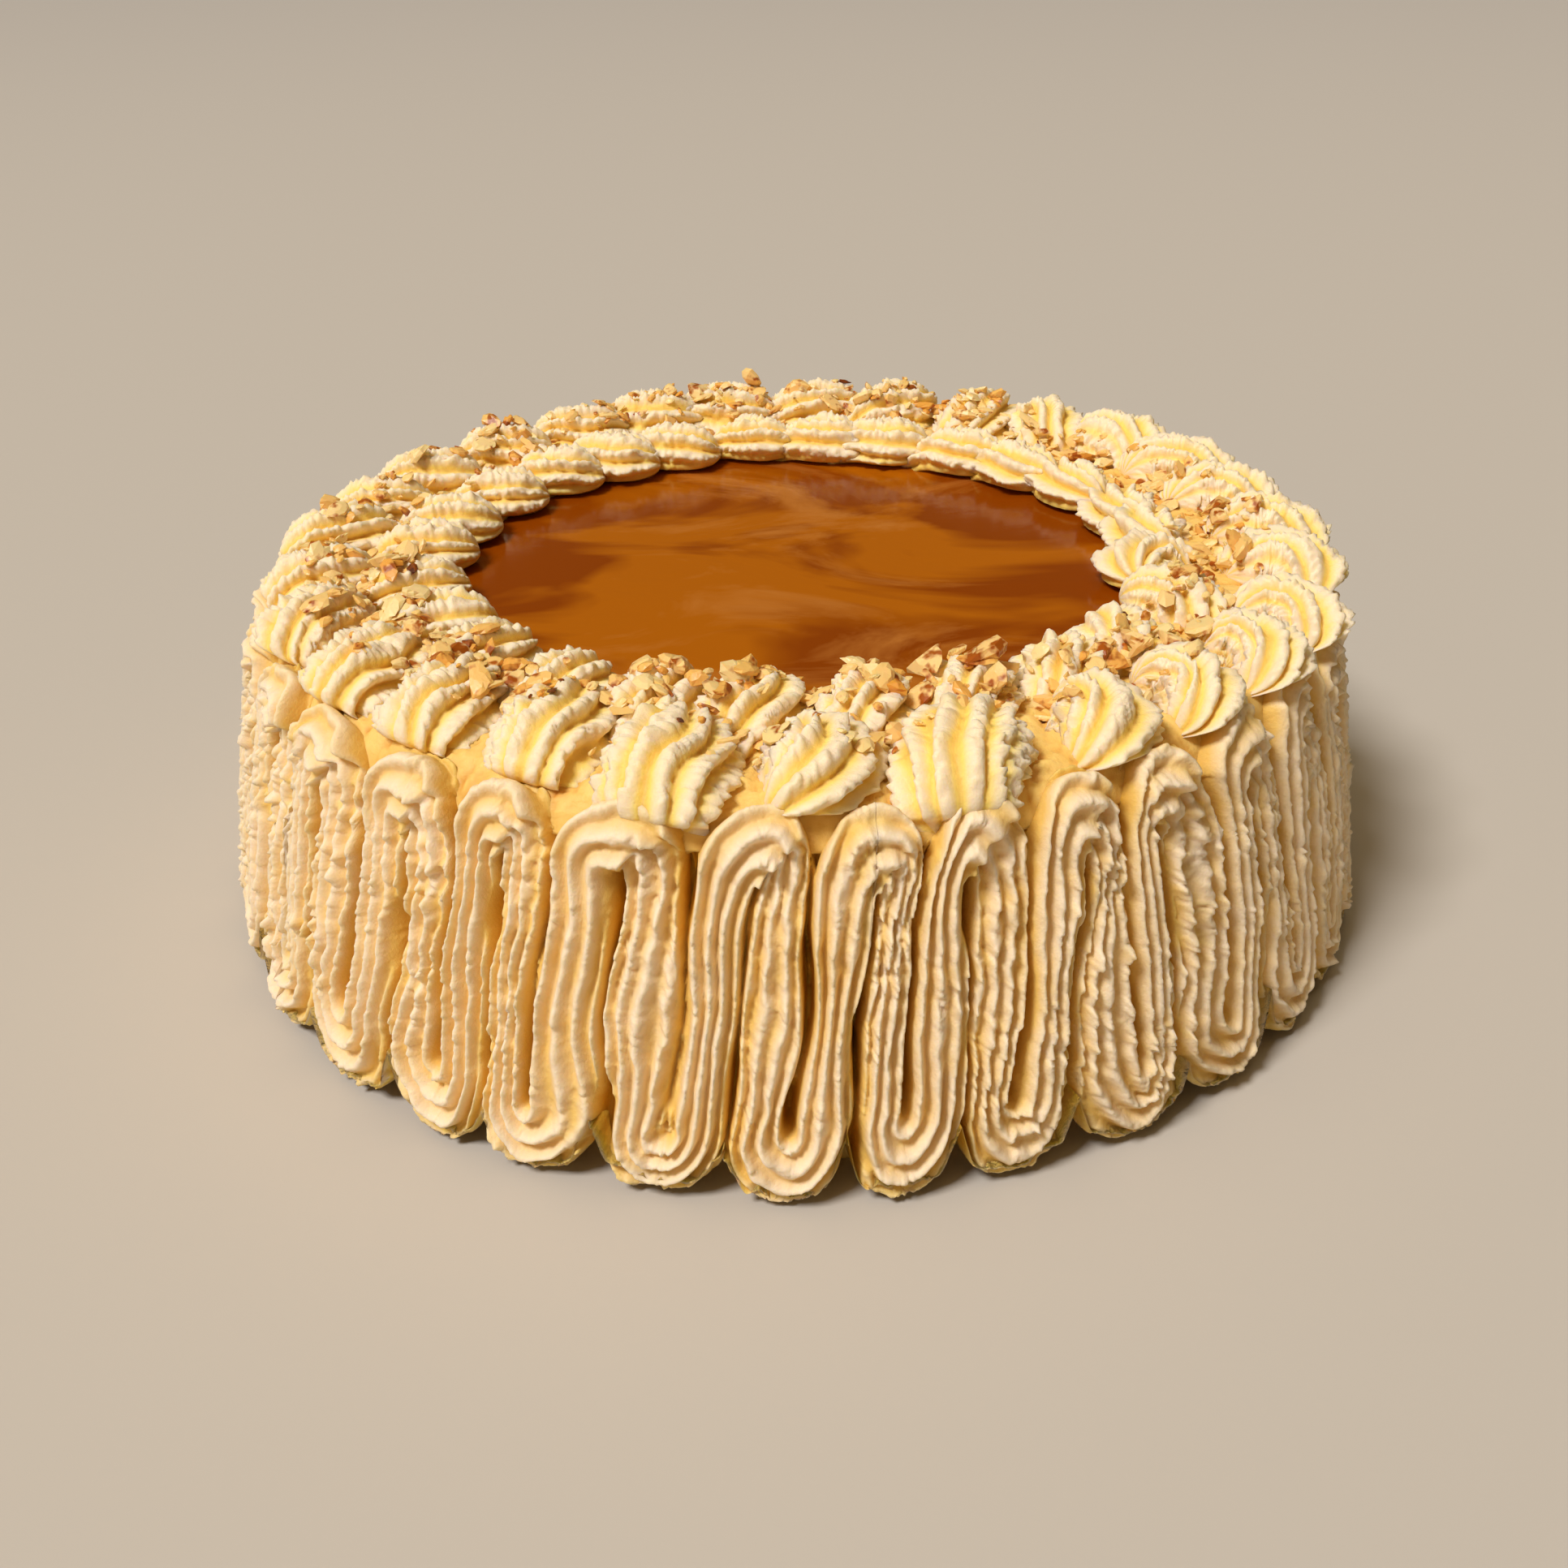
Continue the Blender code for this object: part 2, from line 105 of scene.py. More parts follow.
RIDGES = 3.5              # crests across one strand, the last one cut by the slit
SLIT_MARGIN = 0.06        # the part of a strand's width that the slit takes on each side
SLIT_GATHER = 0.35        # how much the mesh gathers towards the slits
COLUMNS_PER_STRAND = 36
FOOT_ROWS, WALL_ROWS, CROWN_ROWS = 7, 165, 24
SECTORS = (
    ("front_right", 0, 11),
    ("right", 11, 23),
    ("back_right", 23, 34),
    ("back_left", 34, 45),
    ("left", 45, 57),
    ("front_left", 57, 68),
)
COAT_TOP_RADIUS = 0.1188  # the sleeve's inner edge at the top
INNER_TOP = 0.0735

# The shells round the rim
OUTER_SHELLS = 28
INNER_SHELLS = 26
SHELL_CENTRE_HEIGHT = 0.0780
OUTER_SHELL_RADIUS = 0.1120
SHELL_SWERVE = (-6, 6)
SHELL_STRAY = (-0.001, 0.001)
SHELL_UNEVENNESS = (0.94, 1.07)
SHELL_SPREAD = (0.35, 0.65)
TAIL_DIVE = 0.0085        # how deep a shell's tail dives, and over what share of its length
TAIL_DIVE_END = 0.42
DROOP_RADIUS = 0.116
DROOP = 0.003
DROOP_WIDTH = 0.012
CROWN_BACK = 0.1205       # the back of the side's crowns, behind which the shells' tails end
CROWN_LEVEL = 0.0765
CROWN_SLOPE = 2.5
CROWN_PULL = 0.008
CROWN_FIRMNESS = 40
TAIL_END = 0.10
FULLEST = 0.64
TAIL_FULLNESS = 0.92
BACK_HEIGHT, BELLY_DEPTH = 0.86, 0.45       # a shell's height and depth, as parts of its half-width
OUTER_WIDTH, INNER_WIDTH = 1.1, 0.95        # the same, outside its bend and at most inside it
UNDERCUT = 0.35           # how far a shell's underside draws in
SHELL_CREST_BREADTH = 1.4 # the breadth of its crests, as times that of the side
SCALLOP_LENGTH = 1.9      # steps of the scallops along its crests, in millimetres
SCALLOP_HEIGHT = 2.3      # their height, as times that of the beads
SHELL_STYLES = {"outer": (6, -15, 81), "inner": (5.5, -12, 101)}  # ridges, their twist and the seed
SHELL_ROWS = (16, 40, 26) # along a shell: its blunt tail, its body and its head
SHELL_COLUMNS = (56, 12)  # over a shell's back, and under it

# The outer shells in front: azimuth, radius, the way the tail points and how far the shell bends from
# there, both in degrees, 0 to the right and 90 away from the front, how far its tail hangs out between
# the crowns of the side, and its size
FRONT_SHELLS = (
    (-66.0, 0.1115, 70, -30, 0.0, 0.96), (-53.5, 0.1100, 50, 12, 0.0, 0.96),
    (-40.5, 0.1075, 54, 20, 0.0, 0.98), (-27.0, 0.1060, 54, 38, 0.001, 1.0),
    (-13.6, 0.1107, 62, 36, 0.009, 1.07), (-0.8, 0.1080, 8, 140, 0.002, 1.0),
    (17.6, 0.1128, 100, -50, 0.010, 1.07), (29.6, 0.1085, 20, 145, 0.001, 0.94),
    (41.0, 0.1105, 25, 165, 0.002, 0.92), (52.8, 0.1125, 30, 170, 0.002, 0.92),
    (63.8, 0.1145, 55, 140, 0.004, 0.94),
)

# The same for the others, between azimuths
LAY_AZIMUTHS = (-180, -150, -120, -90, -60, -45, -20, 0, 30, 45, 60, 75, 90, 112, 135, 165, 180)
OUTER_START = (-20, -15, -5, 15, 60, 50, 54, 8, 20, 25, 30, 75, 95, 110, 80, 0, -20)
OUTER_BEND = (40, 35, 30, 30, 0, 15, 38, 140, 150, 170, 175, 130, 110, 90, 60, 40, 40)
INNER_START = (-45, -35, -15, -5, 10, 25, 45, 50, 60, 60, 70, 130, 190, 225, 290, 315, 315)
INNER_BEND = (60, 45, 30, 25, 25, 30, 30, 30, 30, 60, 90, 140, 150, 110, 60, 60, 60)
INNER_RADII = (
    0.0845, 0.0855, 0.0875, 0.0890, 0.0895, 0.0895, 0.0890, 0.0885, 0.0890,
    0.0895, 0.0895, 0.0895, 0.0895, 0.0885, 0.0860, 0.0845, 0.0845,
)

# The bed of cream under the shells
BED_COLUMNS, BED_ROWS = 960, 80
BED_LUMP = 0.00066
BED_RADII = (0.0802, 0.0800, 0.0812, 0.0850, 0.0930, 0.1020, 0.1100, 0.1155, 0.1185, 0.1208, 0.1222)
BED_HEIGHTS = (0.0750, 0.0762, 0.0773, 0.0779, 0.0781, 0.0781, 0.0779, 0.0772, 0.0757, 0.0730, 0.0690)

# The chopped nuts: the map of the rim that they lie on, and the rings, spokes and cuts of a chip
MAP_CELL = 0.8 * MILLIMETRE
MAP_HALF = 0.145
CHIP_RINGS, CHIP_SPOKES, CHIP_CUTS = 5, 9, 7
CHIP_TILT = 0.38
NUT_SEED = 41

# The smallest and largest chip of each strewn kind, and for every piece of chips their form, as times
# their size, how far they are browned and how rough they are
PALE_SIZES, BROWNED_SIZES, SKIN_SIZES = (0.0019, 0.0070), (0.0017, 0.0064), (0.0010, 0.0036)
CHIP_STYLES = {
    "nuts_pale": ((1.2, 0.95, 0.45), 0.17, 0.4),
    "nuts_browned": ((1.2, 0.9, 0.5), 0.26, 0.4),
    "nuts_skin": ((1.3, 0.8, 0.35), 0.3, 0.3),
    "nuts_large": ((1.15, 0.9, 0.5), 0.27, 0.4),
}

# Handfuls of nuts: azimuth, radius and share of the nuts
HANDFULS = (
    (-165, 0.110, 3), (-151, 0.106, 3), (-141, 0.113, 2), (-125, 0.106, 3), (-103, 0.102, 4),
    (-90, 0.106, 2), (-80, 0.090, 3), (-76, 0.105, 4), (-62, 0.098, 6), (-50, 0.097, 5),
    (-38, 0.099, 5), (-27, 0.096, 5), (-15, 0.087, 4), (-4, 0.086, 3), (-5, 0.104, 2),
    (4, 0.083, 2), (13, 0.088, 3), (21, 0.083, 3), (28, 0.096, 3), (38, 0.096, 2),
    (47, 0.096, 4), (55, 0.101, 3), (68, 0.096, 4), (82, 0.099, 3), (94, 0.103, 4),
    (112, 0.103, 4), (127, 0.100, 4), (140, 0.100, 4), (152, 0.106, 3), (162, 0.110, 4),
    (172, 0.103, 4), (-174, 0.104, 4),
)
HANDFUL_SHARE = 0.75
HANDFUL_SPREAD = (4.5, 0.0042)
LOOSE_BAND = (0.088, 0.112)
NUT_LIMITS = (0.0775, 0.1200)

# The largest chips: azimuth, radius and size
LARGE_CHIPS = (
    (19.5, 0.0800, 0.0098), (25.0, 0.0860, 0.0098), (12.5, 0.0850, 0.0080), (-15.0, 0.0845, 0.0080),
    (-22.0, 0.0900, 0.0066), (-4.0, 0.0835, 0.0062), (3.5, 0.0790, 0.0066), (16.0, 0.0890, 0.0066),
    (46.0, 0.0950, 0.0084), (41.0, 0.0945, 0.0072), (50.0, 0.1010, 0.0076), (68.0, 0.0940, 0.0078),
    (94.0, 0.1040, 0.0080), (-44.0, 0.0960, 0.0066), (-57.0, 0.0985, 0.0068), (-133.0, 0.1110, 0.0072),
    (-166.0, 0.1100, 0.0072), (174.0, 0.1040, 0.0070), (128.0, 0.1010, 0.0078), (-34.0, 0.0965, 0.0064),
)

# The finishes: how much light soaks in, how far each of its colours goes, and how far in all
CREAM_SOFTNESS, SHELL_SOFTNESS, NUT_SOFTNESS = 0.3, 0.45, 0.3
CREAM_SOAK, CREAM_SOAK_DEPTH = (1.0, 0.75, 0.3), 0.003
NUT_SOAK, NUT_SOAK_DEPTH = (1.0, 0.5, 0.2), 0.002
WHITE = (1, 1, 1, 1)

# The stage: camera with its turn in degrees, floor, surroundings and lights, each with its kind, place,
# size (the sun's as an angle), strength and tint
CAMERA_PLACE = (-0.00129, -0.36640, 0.22205)
CAMERA_TURN = (60.40065, 0.94961, -0.33673)
CAMERA_LENS, CAMERA_SENSOR, CAMERA_NEAR = 37.267, 36, 0.01
FLOOR_HALF = 6
GLOW_COLOUR, GLOW_STRENGTH = (1.0, 0.68, 0.31, 1), 0.12
DISTANCE_COLOUR = (0.56, 0.50, 0.43, 1)     # what shows past the floor's far edge
LAMPS = (
    ("key", "SUN", (-1.48, -1.20, 2.75), math.radians(17), 2.85, (1.0, 0.97, 0.94)),
    ("fill", "AREA", (-1.80, -2.85, 1.10), 3.0, 15.5, (1.0, 0.74, 0.42)),
    ("top", "AREA", (-0.20, 0.20, 3.00), 2.4, 15.0, (1.0, 0.86, 0.58)),
)


# ---------------------------------------------------------------- relief

def smooth(share):
    """An even step from 0 to 1 with soft ends: 3s squared less 2s cubed, s held between 0 and 1."""
    held = np.clip(share, 0.0, 1.0)
    return held * held * (3 - 2 * held)


def ripple(x, y, seed, around=0):
    """Smooth random relief from -1 to 1: random heights at whole-numbered grid points, joined by soft
    steps. With around, the pattern meets itself again after that many cells along x."""
    cells = max(around, 256)
    heights = np.random.default_rng(seed).uniform(-1.0, 1.0, (cells, 256))
    x, y = np.broadcast_arrays(x, y)
    low_x, low_y = np.floor(x).astype(int), np.floor(y).astype(int)
    along_x, along_y = smooth(x - low_x), smooth(y - low_y)
    span = around or cells
    x0, x1 = low_x % span, (low_x + 1) % span
    y0, y1 = low_y % 256, (low_y + 1) % 256
    near = heights[x0, y0] * (1 - along_x) + heights[x1, y0] * along_x
    far = heights[x0, y1] * (1 - along_x) + heights[x1, y1] * along_x
    return near * (1 - along_y) + far * along_y


def crumble(x, y, seed, around=0):
    """Ripples of three sizes, each half as wide and a little over half as strong as the last."""
    return (
        ripple(x, y, seed, around)
        + 0.6 * ripple(2 * x, 2 * y, seed + 1, 2 * around)
        + 0.35 * ripple(4 * x, 4 * y, seed + 2, 4 * around)
    )


def crest(phase, breadth):
    """A row of ridges from 0 to 1 high, one for each whole number, as a star nozzle leaves them: one less
    a power of the sine. The greater the breadth, the broader the ridges and the sharper the grooves."""
    return 1 - np.abs(np.sin(np.pi * phase)) ** breadth


def lobe(share):
    """How far a round lobe's edge draws back, from 0 at its tip to nearly 1 at the notch."""
    return 1 - np.sqrt(1 - 0.98 * share**2)


# ---------------------------------------------------------------- meshes

def around_axis(azimuth, radius, height):
    """Points at azimuths in degrees, radii and heights."""
    turn = np.radians(azimuth)
    x, y, z = np.broadcast_arrays(radius * np.sin(turn), -radius * np.cos(turn), height)
    return np.stack((x, y, z), axis=-1)


def grid_faces(rows, columns, close_rows=False, close_columns=False):
    """Four-sided faces over a grid of points numbered row by row, joined up at its ends if asked."""
    row = np.arange(rows if close_rows else rows - 1)[:, None]
    column = np.arange(columns if close_columns else columns - 1)[None, :]
    next_row, next_column = (row + 1) % rows, (column + 1) % columns
    corners = (
        row * columns + column,
        row * columns + next_column,
        next_row * columns + next_column,
        next_row * columns + column,
    )
    return np.stack(corners, axis=-1).reshape(-1, 4)


def fan_faces(edge, tip):
    """Three-sided faces from each step of an edge to one point."""
    return np.stack((edge[:-1], edge[1:], np.full(len(edge) - 1, tip)), axis=-1)


def outward(points, faces):
    """The faces, turned over if their signed volume says that they point inwards."""
    a, b, c = points[faces[:, 0]], points[faces[:, 1]], points[faces[:, 2]]
    volume = np.einsum("ij,ij->", a, np.cross(b, c))
    if faces.shape[1] == 4:
        d = points[faces[:, 3]]
        volume += np.einsum("ij,ij->", a, np.cross(c, d))
    return faces if volume > 0 else faces[:, ::-1]


def add_piece(name, points, faces, material, node, shades, smooth_groups=99):
    """A new piece with its shades as point attributes, riding on the cake in place of a solid. The
    first groups of its faces are shaded smooth, the others flat."""
    mesh = bpy.data.meshes.new(name)
    mesh.from_pydata(points.tolist(), [], [face for group in faces for face in group.tolist()])
    for shade, values in shades.items():
        attribute = mesh.attributes.new(shade, "FLOAT", "POINT")
        attribute.data.foreach_set("value", np.ascontiguousarray(values, dtype=np.float32).ravel())
    softened = np.concatenate([np.full(len(group), i < smooth_groups) for i, group in enumerate(faces)])
    mesh.polygons.foreach_set("use_smooth", softened)
    mesh.materials.append(material)
    if mesh.validate():
        raise RuntimeError(f"{name} has faulty faces")
    piece = bpy.data.objects.new(name, mesh)
    bpy.context.scene.collection.objects.link(piece)
    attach(piece, BODY)
    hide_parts(node)
    return piece


# ---------------------------------------------------------------- the serpentine on the side

def fill_round(shown, count, seed):
    """The azimuths that the front shows, carried on round the back at uneven but similar steps."""
    draw = random.Random(seed)
    steps = [draw.uniform(*STEP_UNEVENNESS) for _ in range(count - len(shown) + 1)]
    scale = (360 - (shown[-1] - shown[0])) / sum(steps)
    azimuths = list(shown)
    for step in steps[:-1]:
        azimuths.append(azimuths[-1] + step * scale)
    return azimuths


def strand_lines():
    """Azimuths at the foot and at the crown where each strand starts: at the foot, the tips of the
    loops and the notches between them by turns; at the crown, the notches and the tips by turns."""
    feet = fill_round(FRONT_FEET, LOOPS, seed=4)
    notches = [(a + b) / 2 for a, b in zip(feet, feet[1:] + [feet[0] + 360])]
    draw = random.Random(9)
    crowns = [notch + draw.uniform(*CROWN_LEAN) for notch in notches]
    crowns[: len(FRONT_CROWNS)] = FRONT_CROWNS
    dips = [(a + b) / 2 for a, b in zip([crowns[-1] - 360] + crowns[:-1], crowns)]
    low = [azimuth for pair in zip(feet, notches) for azimuth in pair]
    high = [azimuth for pair in zip(dips, crowns) for azimuth in pair]
    return np.array(low + [low[0] + 360]), np.array(high + [high[0] + 360])


def by_turn(number, step, seed):
    """A random value from -1 to 1 for each turn, by its number."""
    return ripple(number * step, 0.5, seed)


def side_wave(place, climb, cells, height, seed, relief=ripple):
    """A ripple or a crumble over the side, with so many cells to a strand, so many millimetres high."""
    return relief(place * cells, climb / (height * MILLIMETRE), seed, int(STRANDS * cells))


def turn_arcs(place, climb, top, low_turn, high_turn):
    """How each point lies in the turns at the foot and at the crown, whose heights are given.

    Across is the distance from the slit inside the nearest turn, in strands, so that its levels are
    nested arcs round the slit's end: circles at the foot, and at the crown the curves on which the sum
    of the two distances, each to the power of the arch's breadth, is the same. The run along a strand
    goes on round a turn by the angle about the slit's end.

    Gives the distance from the nearest slit that turns at the foot, in strands, how far a point is
    within a turn at the foot and at the crown, its across and its run."""
    share = 1 - np.abs(place % 2 - 1)
    below = np.clip(1 - climb / low_turn, 0, None)
    above = np.clip(1 - (top - climb) / high_turn, 0, None)
    arch = ((1 - share) ** ARCH_BREADTH + above**ARCH_BREADTH) ** (1 / ARCH_BREADTH)
    across = np.where(above > 0, 1 - arch, np.hypot(share, below)).clip(0, 1)
    around_foot, around_crown = np.arctan2(below, share), np.arctan2(above, 1 - share)
    run = np.where(below > 0, low_turn - across * STRAND_WIDTH * around_foot, climb)
    run = np.where(above > 0, top - high_turn + (1 - across) * STRAND_WIDTH * around_crown, run)
    return share, below, above, across, run


def crown_lap(sideways, upward, number, sizes):
    """How high a turn at the crown laps over the strand that goes down from it, by the place from the
    slit's end and the turn's number. The lap rises with the angle round the slit's end and then drops.
    Gives its height, and how much of a point lies under it."""
    rise = np.clip(upward, 0, None)
    angle = np.arctan2(rise, -sideways)
    end = LAP_END + 0.5 * by_turn(number, 5.7, 61) + 0.6 * (np.hypot(sideways, rise) - 0.5)
    lift = sizes.lap * (0.7 + 0.5 * by_turn(number, 7.3, 62))
    lapped = smooth((angle - end) / 0.2)
    under_lap = lapped * np.exp(np.clip(upward, None, 0) * 0.9)
    return lift * (smooth(angle / end) * (1 - lapped) - 0.7 * under_lap), under_lap


def slit_drop(across, openness, edge, sizes):
    """How far a point lies down: by the gap of a slit, wider and deeper where it is open, or where the
    slit is a turn's outer edge only by its rounding, and by one less the sine of across for the dome."""
    aside = np.minimum(across, 1 - across)
    gap = smooth(1 - aside / (0.09 + 0.09 * openness))
    slit = sizes.slit_depth * (0.3 + 0.7 * openness) * gap
    rounded = sizes.edge_drop * (1 - smooth(aside / 0.3))
    return slit * (1 - edge) + rounded * edge + sizes.dome * (1 - np.sin(np.pi * across))


def strand_ridge(place, climb, across, torn, under_lap, sizes):
    """The ridges along a strand: crests at even steps of across, which wander a little, more where the
    cream is torn."""
    loose = 0.12 + 0.2 * torn
    wander = loose * side_wave(place, climb, 2, 11, 65)
    wander = wander + 0.6 * loose * side_wave(place, climb, 5, 3.5, 75)
    uneven = 0.07 * side_wave(place, climb, 0.5, 40, 57)
    spread = across + uneven * np.sin(np.pi * across)
    phase = (spread - SLIT_MARGIN) / (1 - 2 * SLIT_MARGIN) * RIDGES - 0.5 + wander + 0.4 * under_lap
    return crest(phase, sizes.crest_breadth)


def strand_crinkle(place, climb, run, across, ridge, torn, under_lap, sizes):
    """Beads across the crests, in patches: ripples of two sizes, slanted over the run. Where the cream
    is torn lumps are added to them, and where a turn folds over larger lumps, all by crumbles."""
    patch = smooth(0.5 + side_wave(place, climb, 2.5, 7, 74))
    slanted = (run + place * STRAND_WIDTH * 0.6) / MILLIMETRE
    slanted = slanted + 1.2 * side_wave(place, climb, 6, 2.4, 69)
    coarse, fine = (slanted / step for step in BEAD_STEPS)
    bead = ripple(across * 4.5, coarse, 67) + 0.6 * ripple(across * 8, fine, 68)
    bead = bead * (0.45 + 0.9 * patch)
    lumps = side_wave(place, climb, 6.5, 3, 70, crumble) * patch
    fold = sizes.lump * side_wave(place, climb, 4, 3.4, 76, crumble) * under_lap
    return sizes.crinkle * (bead * (0.25 + 0.8 * ridge + 0.6 * torn) + 1.5 * lumps * torn) + fold


def strand_relief(place, climb, top, sizes):
    """How far the piping stands off its reach, by its place along the row of strands (a whole number is
    a slit, even where it ends in a turn at the foot and odd at the crown) and its climb from the foot:
    the sum of a slow wave, the laps, the lips of the turns at the crown, the ridges and the crinkle, less
    the drop to the slits. The slits are open in places and closed in others, and the cream is torn in
    places, most where a strand comes down from its turn.

    Gives the relief, and how deep a point lies as a part of the slits' depth, from 0 to 1."""
    crown_middle = 2 * np.round((place - 1) / 2) + 1
    foot_number, crown_number = 2 * np.round(place / 2) % STRANDS, crown_middle % STRANDS
    low_turn = sizes.turn_depth * (1 + TURN_UNEVENNESS * by_turn(foot_number, 2.7, 59))
    high_turn = sizes.turn_depth * (1 + TURN_UNEVENNESS * by_turn(crown_number, 2.7, 60))
    share, below, above, across, run = turn_arcs(place, climb, top, low_turn, high_turn)
    upward = 1 - (top - climb) / high_turn
    lap, under_lap = crown_lap(place - crown_middle, upward, crown_number, sizes)

    high_slit = across > 0.5
    slit = np.where(high_slit, crown_number, foot_number)
    openness = smooth(0.5 + 0.8 * ripple(climb / (15 * MILLIMETRE) + slit * 3.7, slit * 1.3, 63))
    edge_at_foot = smooth(2 * below) * smooth((1 - share) / NOTCH_WIDTH) * high_slit
    edge_at_crown = smooth(2 * above) * smooth(share / NOTCH_WIDTH) * ~high_slit
    drop = slit_drop(across, openness, edge_at_foot + edge_at_crown, sizes)

    coming_down = smooth(0.5 - 1.5 * np.sin(np.pi * place))
    roughness = 0.35 + 0.3 * ripple(crown_number * 3.1, climb / (26 * MILLIMETRE), 58)
    torn = smooth(2.2 * side_wave(place, climb, 1.5, 17, 64) - 0.6)
    torn = np.clip(torn + roughness * coming_down + 0.8 * under_lap, 0, 1)
    ridge = strand_ridge(place, climb, across, torn, under_lap, sizes)
    strength = 1 + 0.3 * side_wave(place, climb, 3, 12, 66) - 0.25 * torn
    crinkle = strand_crinkle(place, climb, run, across, ridge, torn, under_lap, sizes)
    proud = 0.6 * MILLIMETRE * side_wave(place, climb, 0.75, 30, 73)
    lip = sizes.lip * smooth(1.8 * above) * np.exp(-(((across - 0.2) / 0.2) ** 2))

    relief = proud + lap + lip - drop + sizes.ridge_height * strength * (ridge - 1) + crinkle
    # How deep a point lies, which the cream's finish paints as shade
    hollow = (drop + sizes.ridge_height * (1 - ridge)) / sizes.slit_depth
    return relief, np.clip(hollow, 0, 1)


def side_sheet(first, last, sizes):
    """The face of the piping from one strand to another: points by row and column, and their hollows.

    Each column runs from the foot's rounded edge up the wall and over the crown's rounded edge. Its
    azimuth goes evenly from the foot's line to the crown's, its edges follow the lobes of the turns, and
    the relief is added along the surface: outwards on the wall, upwards on top of the crown."""
    evenly = np.linspace(first, last, (last - first) * COLUMNS_PER_STRAND + 1)[None, :]
    place = evenly - SLIT_GATHER * np.sin(2 * np.pi * evenly) / (2 * np.pi)
    quarter = np.pi / 2
    turn = np.concatenate(
        (
            np.linspace(-quarter, 0, FOOT_ROWS, endpoint=False),
            np.zeros(WALL_ROWS),
            np.linspace(0, quarter, CROWN_ROWS + 1)[1:],
        )
    )[:, None]
    level = np.concatenate((np.zeros(FOOT_ROWS), np.linspace(0, 1, WALL_ROWS), np.ones(CROWN_ROWS)))
    share = 1 - np.abs(place % 2 - 1)
    uneven = 0.8 * MILLIMETRE * ripple(place / 2, 0.5, 71, LOOPS)
    foot_edge = FOOT_NOTCH * lobe(share**1.3) + FOOT_ROUNDING
    crown_edge = CROWN_HEIGHT - CROWN_NOTCH * lobe((1 - share) ** 1.15) - CROWN_ROUNDING + uneven
    rounding = np.where(turn < 0, FOOT_ROUNDING, CROWN_ROUNDING)
    height = foot_edge + (crown_edge - foot_edge) * level[:, None] + rounding * np.sin(turn)
    climb = height + np.where(turn > 0, rounding * (turn - np.sin(turn)), 0)
    top = CROWN_HEIGHT + CROWN_ROUNDING * (quarter - 1)

    low, high = strand_lines()
    strands = np.arange(STRANDS + 1)
    azimuth_low, azimuth_high = np.interp(place, strands, low), np.interp(place, strands, high)
    azimuth = azimuth_low + (azimuth_high - azimuth_low) * height / CROWN_HEIGHT
    inland = smooth(climb / (12 * MILLIMETRE)) * smooth((top - climb) / (12 * MILLIMETRE))
    sway = side_wave(place, climb, 1, 19, 72)
    relief, hollow = strand_relief(place + sizes.sway * sway * inland, climb, top, sizes)

    reach = np.interp(height, WALL_HEIGHTS, WALL_RADII) - rounding * (1 - np.cos(turn))
    radius = reach + relief * np.cos(turn)
    height = np.clip(height + relief * np.sin(turn), 0.2 * MILLIMETRE, None)
    return around_axis(azimuth, radius, height), hollow, azimuth, height


def side_sector(first, last, sizes):
    """A closed stretch of the piping: its sheet, a plain back wall against the cake and two end walls."""
    sheet, hollow, azimuth, height = side_sheet(first, last, sizes)
    inner = (
        around_axis(azimuth[-1], COAT_TOP_RADIUS, INNER_TOP),
        around_axis(azimuth[WALL_ROWS // 2], (COAT_TOP_RADIUS + COAT_FOOT_RADIUS) / 2, INNER_TOP / 2),
        around_axis(azimuth[0], COAT_FOOT_RADIUS + 0.3 * MILLIMETRE, height[0]),
    )
    points = np.concatenate((sheet, np.stack(inner)))
    rows, columns = points.shape[:2]
    numbers = np.arange(rows * columns).reshape(rows, columns)
    middle_of_back = rows - 2
    walls = []
    for column, step in ((0, 1), (columns - 1, -1)):
        ring = np.roll(numbers[:, column], -(middle_of_back + 1))
        walls.append(fan_faces(ring[:-1][::step], numbers[middle_of_back, column]))
    faces = [grid_faces(rows, columns, close_rows=True), *walls]
    # The points of the back wall lie fully hollow, in the slit's painted shade
    shade = np.concatenate((hollow, np.ones((3, columns))))
    return points.reshape(-1, 3), faces, shade


# ---------------------------------------------------------------- the shells round the rim

def shell_plan(outer):
    """For each shell of a row: the azimuth and radius of its middle, the way its tail points, how far it
    bends, how far its tail hangs out and how large it is."""
    draw = random.Random(33)
    if outer:
        shown = [shell[0] for shell in FRONT_SHELLS]
        azimuths = fill_round(shown, OUTER_SHELLS, seed=7)[len(shown):]
        plan = list(FRONT_SHELLS)
        starts, bends, radii = OUTER_START, OUTER_BEND, [OUTER_SHELL_RADIUS] * len(LAY_AZIMUTHS)
    else:
        azimuths = [(i + draw.uniform(*SHELL_SPREAD)) * 360 / INNER_SHELLS for i in range(INNER_SHELLS)]
        plan = []
        starts, bends, radii = INNER_START, INNER_BEND, INNER_RADII
    for azimuth in azimuths:
        azimuth = (azimuth + 180) % 360 - 180
        start = np.interp(azimuth, LAY_AZIMUTHS, starts) + draw.uniform(*SHELL_SWERVE)
        bend = np.interp(azimuth, LAY_AZIMUTHS, bends)
        radius = np.interp(azimuth, LAY_AZIMUTHS, radii) + draw.uniform(*SHELL_STRAY)
        plan.append((azimuth, radius, start, bend, 0.0, draw.uniform(*SHELL_UNEVENNESS)))
    return np.array(plan)


